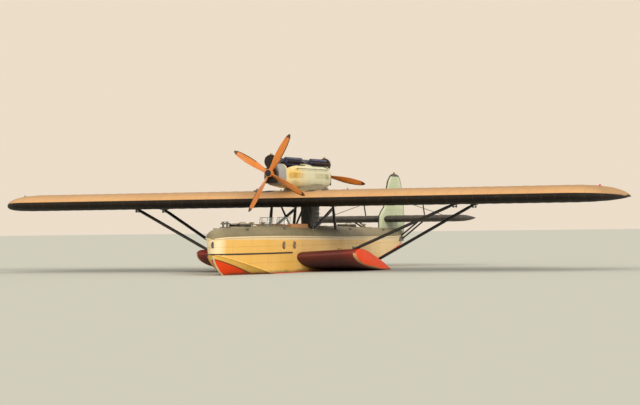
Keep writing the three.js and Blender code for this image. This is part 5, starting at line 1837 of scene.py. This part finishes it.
wheel_places = [(side * SEAT_X, *WHEEL_PLACE) for _, side in SIDES]
make("wheel_rims", repeated(wheel_rim(), wheel_places), "propeller_wood", WOOD)
levers = [tube([(x, -2.2, 1.1), (x, -2.24, 1.22)], 0.007, 10) for x in LEVER_X]
black("throttle_quadrant", together(cuboid((0, -2.2, 0.95), (0.14, 0.2, 0.36)), *levers), bevel=0.006)
ball = turned([(0, -0.014), (0.01, -0.01), (0.014, 0), (0.01, 0.01), (0, 0.014)], 14)
make("throttle_knobs", repeated(ball, [(x, -2.242, 1.226) for x in LEVER_X]), "leather", MARK_WHITE)
pedals = [cuboid((side * SEAT_X + foot, -2.36, 0.9), (0.09, 0.016, 0.16))
          for _, side in SIDES for foot in (-0.12, 0.12)]
pedals += [tube([(side * SEAT_X - 0.2, -2.385, 0.9), (side * SEAT_X + 0.2, -2.385, 0.9)], 0.014, 10)
           for _, side in SIDES]
fitting("rudder_pedals", together(*pedals), bevel=0.004)
print("levers", len(LEVER_X), "pedals", 2 * len(SIDES))

# %% [markdown]
# A windscreen is one bent sheet in a thin metal frame: a part of a cylinder that narrows towards its top and
# leans back, with the arc and height of the frame's solid.

# %% Windscreens
SCREEN_CENTRE_Y = -2.43
SCREEN_LOW_RADIUS = 0.266
SCREEN_HIGH_RADIUS = 0.246
SCREEN_THICKNESS = 0.006
SCREEN_HEIGHT = 0.4
SCREEN_ARC = (200, 340)
POST_ANGLES = (200, 247, 293, 340)
SHEET_SHARES = np.array([0.36, 0.5, 0.75, 1.0])
screen_foot_z = ridge_height(-2.45) - 0.13


def screen_point(x, angle, up, shift=0.0):
    """A place on the sheet: radius and lean both run from the foot to the top with the share up."""
    radius = SCREEN_LOW_RADIUS + (SCREEN_HIGH_RADIUS - SCREEN_LOW_RADIUS) * up + shift
    lean = -0.03 + 0.09 * up
    y = SCREEN_CENTRE_Y + radius * np.sin(angle) + lean
    return points_at(x + radius * np.cos(angle), y, screen_foot_z + SCREEN_HEIGHT * up)


SCREEN_GLASS = Paint("screen_glass", (0.45, 0.52, 0.52), 0.04, Alpha=0.13).done()
turn = np.radians(np.linspace(*SCREEN_ARC, 33))
for side_name, side in SIDES:
    x = side * SEAT_X
    faces = ((SCREEN_THICKNESS / 2, SHEET_SHARES), (-SCREEN_THICKNESS / 2, SHEET_SHARES[::-1]))
    rings = np.stack([screen_point(x, turn, u, shift) for shift, shares in faces for u in shares], 1)
    make(f"windscreen_{side_name}_sheet", loft(rings), "glass", SCREEN_GLASS,
         stands_for=(f"windscreen_{side_name}",))
    rails = [tube(screen_point(x, turn, 1.0), 0.008, 10), tube(screen_point(x, turn, 0.35), 0.009, 10)]
    posts = [tube(screen_point(x, np.radians([a, a]), np.array([0.3, 1.0])), 0.008, 10) for a in POST_ANGLES]
    fitting(f"windscreen_{side_name}_frame", together(*rails, *posts))
print("windscreens at x", SEAT_X)

# %% [markdown]
# The seats are riveted metal buckets with loose cushions. Each cushion is a block of small voxels whose
# seams are pinned. Cloth under pressure swells the rest of it without gravity, and no point may move further
# than a cap.

# %% Seats
CUSHION_VOXEL = 0.006
CUSHION_CAP = 0.016
CUSHION_FRAMES = 20
CHANNEL_PITCH = 0.1
# columns: name, middle, size, axis that its top faces
CUSHIONS = [("pan", (SEAT_X, -1.755, 0.965), (0.37, 0.33, 0.07), 2),
            ("back", (SEAT_X, -1.548, 1.2), (0.37, 0.05, 0.36), 1)]


def cushion(name, middle, size, top_axis):
    """A swollen block with sewn channels across its top, whose outward direction is a coordinate axis."""
    middle, size = np.asarray(middle, float), np.asarray(size, float)
    piece = make_mesh(name, cuboid(middle, size))
    corners_of_block = piece.modifiers.new("corners", "BEVEL")
    corners_of_block.width = min(size) * 0.35
    corners_of_block.segments = 4
    voxels = piece.modifiers.new("voxels", "REMESH")
    voxels.mode = "VOXEL"
    voxels.voxel_size = CUSHION_VOXEL
    apply_modifiers(piece)
    start = mesh_points(piece)
    local = start - middle
    across, up = local[:, 0], local[:, top_axis]
    off_channel = np.abs((across + CHANNEL_PITCH / 2) % CHANNEL_PITCH - CHANNEL_PITCH / 2)
    channel = (off_channel < CUSHION_VOXEL * 0.6) & (np.abs(across) < size[0] * 0.45)
    sewn = channel & (up > size[top_axis] * 0.3) | (up < -size[top_axis] * 0.46)
    pinned = piece.vertex_groups.new(name="sewn")
    pinned.add(np.flatnonzero(sewn).tolist(), 1.0, "REPLACE")
    cloth = piece.modifiers.new("cloth", "CLOTH")
    cloth.settings.use_pressure = True
    cloth.settings.uniform_pressure_force = 4
    cloth.settings.vertex_group_mass = "sewn"
    cloth.settings.effector_weights.gravity = 0
    cloth.point_cache.frame_start = 1
    cloth.point_cache.frame_end = CUSHION_FRAMES
    for step in range(1, CUSHION_FRAMES + 1):
        bpy.context.scene.frame_set(step)
    apply_modifiers(piece)
    bpy.context.scene.frame_set(1)
    moved = mesh_points(piece) - start
    length = np.linalg.norm(moved, axis=1, keepdims=True)
    moved *= np.minimum(1, CUSHION_CAP / np.maximum(length, 1e-9))
    piece.data.vertices.foreach_set("co", (start + moved).ravel())
    piece.data.update()
    return piece


def moved_across(source, name):
    """The same cushion on the starboard seat."""
    piece = link_mesh(name, source.data.copy())
    piece.data.vertices.foreach_set("co", (mesh_points(source) + (-2 * SEAT_X, 0, 0)).ravel())
    piece.data.update()
    return piece


SEAT_LEATHER = leather_paint("seat_leather", tone(120, 62, 34), tone(94, 48, 28))
for cushion_name, middle, size, top_axis in CUSHIONS:
    port = cushion(f"seat_port_{cushion_name}_cushion", middle, size, top_axis)
    starboard = moved_across(port, f"seat_stbd_{cushion_name}_cushion")
    for side_name, piece in (("port", port), ("stbd", starboard)):
        finish_piece(piece, "leather", SEAT_LEATHER, stands_for=(f"seat_{side_name}",))
bucket = [cuboid((0, -1.7, 0.84), (0.42, 0.45, 0.15)), cuboid((0, -1.487, 1.18), (0.42, 0.03, 0.53))]
bucket += [cuboid((wall * 0.203, -1.7, 0.96), (0.016, 0.44, 0.1)) for wall in (-1, 1)]
back_rail = curve((-0.2, -1.487, 1.32), (-0.18, -1.487, 1.43), (0, -1.487, 1.44), (0.18, -1.487, 1.43),
                  (0.2, -1.487, 1.32))
bucket.append(tube(back_rail, 0.014, 10))
for side_name, side in SIDES:
    fitting(f"seat_{side_name}_bucket", repeated(together(*bucket), (side * SEAT_X, 0, 0)), CASTING,
            bevel=0.008, stands_for=(f"seat_{side_name}",))
print("cushions", len(CUSHIONS) * 2)

# %% [markdown]
# Two round hatches lead into the bow and the tail. Each lid is a shallow dome with a seal under its rim, a
# handle and a ring of rivets, and turns on its barrel in front. The wells below have frames and rungs.

# %% Hatches
HATCH_WALL = 0.042
HATCH_RISE = 0.052
LID_GAP = 0.006
WELL_FOOT_Z = 1.0
TOGGLE_ANGLES = [40, 90, 140]
WELL_RIB_Z = [0.99, 1.14, 1.29]
rivet = turned([(0, -0.002), (0.008, -0.002), (0.0065, 0.003), (0, 0.0048)], 8)


def around(form, centre, radius, angles):
    """The form repeated on a circle, turned to face out at each angle in degrees."""
    forms = []
    for a in np.radians(angles):
        place = np.array([radius * cos(a), radius * sin(a), 0]) + centre
        forms.append(repeated(spun(form, a, "z"), place))
    return together(*forms)


for hatch, at in hatch_y.items():
    rim = ridge_height(at) + HATCH_RISE
    top = rim + LID_GAP
    outer = HATCH_RADIUS + HATCH_WALL
    body = f"{hatch}_hatch_lid"
    dress(f"{hatch}_hatch_coaming", "dark_paint", STRUT_BLACK, bevel=0.004)
    dress(body, "deck_paint", DECK_GREY, body=body, bevel=0.003)
    grip = curve((-0.09, 0, 0), (-0.085, 0, 0.04), (0.085, 0, 0.04), (0.09, 0, 0), steps=8)
    fitting(f"{hatch}_lid_handle", repeated(tube(grip, 0.009, 10), (0, at + 0.2, top + 0.026)), body=body)
    rivets = around(rivet, (0, at, top + 0.018), outer - 0.02, range(0, 360, 12))
    make(f"{hatch}_lid_rivets", rivets, "deck_paint", DECK_GREY, body=body)
    toggle = together(cuboid((0.012, 0, -0.03), (0.014, 0.05, 0.05)),
                      cuboid((0.022, 0, -0.03), (0.012, 0.02, 0.075)))
    toggles = around(toggle, (0, at, rim - 0.012), outer, TOGGLE_ANGLES)
    fitting(f"{hatch}_toggles", toggles, BRASS, bevel=0.002)
    well = [tube([(-0.13, at + 0.285, z), (0.13, at + 0.285, z)], 0.011, 10)
            for z in np.arange(WELL_FOOT_Z + 0.02, rim - 0.12, RUNG_PITCH)]
    well += [cuboid((x, at + 0.295, (rim + 0.9) / 2), (0.02, 0.02, rim - WELL_FOOT_Z)) for x in (-0.13, 0.13)]
    well += [cuboid((x, at, z), (0.016, 0.6, 0.03))
             for x in (-0.3, 0.3) for z in WELL_RIB_Z if z < rim - 0.15]
    make(f"{hatch}_well_rungs", together(*well), "hull_paint", CABIN_GREEN, bevel=0.002)
print("hatches at", {name: round(at, 2) for name, at in hatch_y.items()})

# %% [markdown]
# Two portholes on each side light the cabin. Each is a brass ring with eight screws round dark glass, turned
# to lie flat on the side, whose breadth changes along the hull.

# %% Portholes
PORTHOLE_Y = [-3.97, -3.17]
PORTHOLE_Z = 0.9
PORTHOLE_RADIUS = 0.1
SCREW_CIRCLE = 0.117
SLOPE_STEP = 0.1
# columns: share of the porthole's radius, height
RING = np.array([[0.8, -0.02], [1.28, -0.02], [1.28, 0.006], [1.05, 0.016], [0.88, 0.016], [0.8, 0.004],
                 [0.8, -0.02]])
PANE = np.array([[0, -0.01], [0.84, -0.01], [0.84, 0.005], [0, 0.007]])
SCREW = [(0, 0.005), (0.007, 0.005), (0.006, 0.014), (0, 0.016)]

CABIN_GLASS = Paint("cabin_glass", tone(30, 36, 38), 0.06, **{"Coat Weight": 0.6}).done()
screws = [turned(SCREW, 8, "x", (0, SCREW_CIRCLE * cos(a), SCREW_CIRCLE * sin(a))) for a in full_turn(8)]
ring = together(turned(RING * (PORTHOLE_RADIUS, 1), 40, "x"), *screws)
pane = turned(PANE * (PORTHOLE_RADIUS, 1), 40, "x")
rings, panes = [], []
for y in PORTHOLE_Y:
    behind, before = (side_breadth(y + step, PORTHOLE_Z) for step in (SLOPE_STEP, -SLOPE_STEP))
    above, below = (side_breadth(y, PORTHOLE_Z + step) for step in (SLOPE_STEP, -SLOPE_STEP))
    slope = atan2(before - behind, 2 * SLOPE_STEP)
    lean = atan2(above - below, 2 * SLOPE_STEP)
    for form, pile in ((ring, rings), (pane, panes)):
        laid = spun(spun(form, -slope, "z"), lean, "y")
        pile.append(repeated(laid, (side_breadth(y, PORTHOLE_Z), y, PORTHOLE_Z)))
fitting("porthole_rings", both_sides(together(*rings)), BRASS)
make("porthole_panes", both_sides(together(*panes)), "glass", CABIN_GLASS)
print("portholes", 2 * len(PORTHOLE_Y))

# %% [markdown]
# The deck carries what the crew holds on to and ties up with: a bollard and cleats, rails on short posts,
# mushroom ventilators and round covers over inspection holes.

# %% Deck fittings
CLEAT_Y = [-5.9, -3.5, 2.4, 6.3]
CLEAT_SHARE = 0.8
RAIL_X = 0.42
RAIL_ENDS = (-4.75, -2.85)
RAIL_LIFT = 0.07
RAIL_BEND = 0.12
VENT_X = 0.2
VENT_Y = [-3.9, 5.1]
COVER_Y = [1.75, 2.7, 6.1]
VENT = [(0, -0.02), (0.05, -0.02), (0.045, 0.05), (0.045, 0.07), (0.095, 0.075), (0.1, 0.09), (0.07, 0.12),
        (0, 0.132)]
COVER = [(0, -0.01), (0.13, -0.01), (0.13, 0.006), (0.12, 0.01), (0, 0.01)]

dress("mooring_bollard", "engine_metal", STEEL, bevel=0.004)
cleat = together(
    tube(curve((0, -0.13, 0.062), (0, -0.08, 0.052), (0, 0.08, 0.052), (0, 0.13, 0.062), steps=6), 0.013, 10),
    tube([(0, -0.04, 0), (0, -0.035, 0.05)], 0.014, 10), tube([(0, 0.04, 0), (0, 0.035, 0.05)], 0.014, 10),
    cuboid((0, 0, 0.004), (0.055, 0.16, 0.014)))
cleat_x = hull_line(CLEAT_Y, 4) * CLEAT_SHARE
cleat_places = points_at(cleat_x, CLEAT_Y, deck_height(cleat_x, CLEAT_Y))
fitting("cleats", both_sides(repeated(cleat, cleat_places)), bevel=0.003)

rail_y = np.linspace(*RAIL_ENDS, 24)
rail_z = deck_height(RAIL_X, rail_y)
inset = np.minimum(1, np.minimum(rail_y - RAIL_ENDS[0], RAIL_ENDS[1] - rail_y) / RAIL_BEND)
rail_top = rail_z + RAIL_LIFT * np.sin(inset * pi / 2) - 0.004
rail = tube(points_at(RAIL_X, rail_y, rail_top), 0.012, 12)
posts = [tube([(RAIL_X, rail_y[i], rail_z[i] - 0.01), (RAIL_X, rail_y[i], rail_z[i] + RAIL_LIFT)], 0.009, 10)
         for i in (5, 11, 17)]
fitting("deck_rails", both_sides(together(rail, *posts)))
vent_places = [(side * VENT_X, y, deck_height(VENT_X, y)) for _, side in SIDES for y in VENT_Y]
fitting("deck_vents", repeated(turned(VENT, 28), vent_places), DECK_GREY, bevel=0.002)
cover = together(turned(COVER, 36), around(rivet, (0, 0, 0.009), 0.108, range(0, 360, 30)))
cover_places = [(0, y, ridge_height(y)) for y in COVER_Y]
make("inspection_covers", repeated(cover, cover_places), "deck_paint", DECK_GREY)
eye_path = curve((-0.012, -0.02, 0.06), (0, -0.09, 0.05), (0, -0.09, -0.05), (0.012, -0.02, -0.06), steps=6)
bow_eye = together(tube(eye_path, 0.014, 12), cuboid((0, -0.004, 0), (0.06, 0.016, 0.2)))
fitting("bow_eye", repeated(bow_eye, (0, station_y[0] + 0.004, 0.95)), bevel=0.002)
print("cleats", 2 * len(CLEAT_Y), "rail from", RAIL_ENDS[0], "to", RAIL_ENDS[1])

# %% [markdown]
# On the wing are pads with rings for the crane's sling, dark walkways beside the engines, lamps at the tips,
# a pitot head, and brackets and horns at the ailerons. A walkway follows the wing: a thin plate between the
# upper surface's own points and the same points a few millimetres higher.

# %% Walkways and hoist pads
HOIST_X = 1.25
HOIST_TOP_Z = 2.746
WALK_X = (0.64, 0.94)
WALK_SHARES = (0.16, 0.9)
WALK_LIFT = 0.006
WALK_DEPTH = 0.004


def wing_top(x, share):
    """Points on the wing's upper side at the places x and at shares of the chord."""
    rings = ribbed_rings(WING, np.atleast_1d(np.asarray(x, float)))
    upper = rings[:, :rings.shape[1] // 2 + 1][:, ::-1]
    along = (upper[0, :, 1] - upper[0, 0, 1]) / (upper[0, -1, 1] - upper[0, 0, 1])
    return np.stack([np.stack([np.interp(share, along, ring[:, i]) for i in range(3)], -1) for ring in upper])


def walkway_paint():
    """Black paint with sand in it."""
    paint = Paint("walkway_black", tone(46, 45, 42), 0.85)
    weather(paint, tone(70, 67, 60), patch=1.5, streak=0.1)
    paint.height = paint.noise(220.0, 2.0) * 0.8
    return paint.done(0.002)


rows = np.swapaxes(wing_top(np.linspace(*WALK_X, 5), np.linspace(*WALK_SHARES, 30)), 0, 1)
walkway = loft(np.concatenate([rows + (0, 0, WALK_LIFT), rows[:, ::-1] - (0, 0, WALK_DEPTH)], 1))
black("engine_walkways", both_sides(walkway), walkway_paint())
hoist_places = [(side * HOIST_X, y, HOIST_TOP_Z) for _, side in SIDES for y in (FRONT_SPAR_Y, REAR_SPAR_Y)]
fitting("hoist_pads", repeated(cuboid((0, 0, -0.06), (0.18, 0.18, 0.12)), hoist_places), bevel=0.008)
eye_path = curve((0, -0.035, -0.005), (0, -0.03, 0.045), (0, 0.03, 0.045), (0, 0.035, -0.005), steps=8)
fitting("hoist_eyes", repeated(tube(eye_path, 0.011, 10), hoist_places))
print("walkways", WALK_X)

# %% Lamps, pitot head, aileron brackets, fillers and pipes
LAMP_X = 10.55
LAMP_SHARE = 0.3
LAMP = [(0, -0.03), (0.04, -0.03), (0.045, 0.01), (0.04, 0.035), (0.024, 0.055), (0, 0.062)]
LAMP_COLOURS = {"port": tone(190, 30, 24), "stbd": tone(20, 120, 60)}
PITOT_X = 7.6
BRACKET_DROP = AILERON_NOSE + 0.03
FILLER_PLACE = (1.9, -1.5)
FILLER = [(0, -0.02), (0.075, -0.02), (0.075, 0.006), (0.05, 0.01), (0.045, 0.028), (0, 0.03)]

pitot = together(tube([(0, 0, 0), (0, -0.34, 0)], [0.012, 0.009], 12),
                 tube([(0, -0.34, 0), (0, -0.42, 0)], 0.005, 10), cuboid((0, -0.02, 0), (0.04, 0.04, 0.04)))
black("pitot_head", repeated(pitot, (PITOT_X, WING.nose_y + 0.02, WING.z + 0.02)), bevel=0.001)
bracket = together(cuboid((0, -0.17, -BRACKET_DROP - 0.015), (0.03, 0.3, 0.03)),
                   cuboid((0, -0.28, -BRACKET_DROP + 0.012), (0.05, 0.1, 0.05)))
horn_side = np.array([(0, -0.02, 0.09), (0, 0.14, 0.06), (0, 0.05, 0.19), (0, 0.02, 0.19)])
horn = loft(np.stack([horn_side - (0.006, 0, 0), horn_side + (0.006, 0, 0)]))
for side_name, side in SIDES:
    glass = Paint(f"lamp_{side_name}", LAMP_COLOURS[side_name], 0.08, **{"Coat Weight": 0.8}).done()
    lamp_place = wing_top(side * LAMP_X, np.array([LAMP_SHARE]))
    make(f"wing_lamp_{side_name}", repeated(turned(LAMP), lamp_place), "glass", glass)
    low, high = aileron_boxes[side_name]
    places = [(x, aileron_hinge_y, aileron_z) for x in np.linspace(low.x, high.x, 5)[1:-1]]
    fitting(f"aileron_brackets_{side_name}", repeated(bracket, places), bevel=0.003)
    fitting(f"aileron_horn_{side_name}", repeated(horn, places[1]), body=f"aileron_{side_name}")

sponson_points = solid_points("sponson_port")
near_filler = sponson_points[np.abs(sponson_points[:, 1] + 1.6) < 0.5]
filler_place = (*FILLER_PLACE, near_filler[:, 2].max() - 0.02)
fitting("tank_fillers", both_sides(repeated(turned(FILLER, 28), filler_place)), BRASS)
side_rail = curve((0.44, -1.55, 3.44), (0.5, -1.5, 3.44), (0.5, 0.9, 3.44), (0.44, 0.95, 3.44), steps=6)
fuel_pipes = [tube(curve((x, -0.36, 2.6), (x, -0.36, 2.75), (x * 0.9, -0.36, 2.9), steps=6), 0.016, 10)
              for x in (0.34, 0.38)]
fitting("nacelle_rails", both_sides(together(tube(side_rail, 0.011, 10), *fuel_pipes)))
print("lamps at", LAMP_X, "tank fillers at", FILLER_PLACE)

# %% [markdown] The floor lies at the waterline, and the hull goes through it as it goes into the water.

# %% Floor
FLOOR_HALF = 600.0
FLOOR_COLOUR = (0.49, 0.52, 0.49)
corners = np.array([[-1, -1, 0], [1, -1, 0], [1, 1, 0], [-1, 1, 0]]) * FLOOR_HALF
floor = make_mesh("floor", (corners, [np.array([[0, 1, 2, 3]])]))
floor.data.materials.append(Paint("floor_pale", FLOOR_COLOUR, 1.0, **{"Specular IOR Level": 0.0}).done())
print("floor", 2 * FLOOR_HALF, "m across")
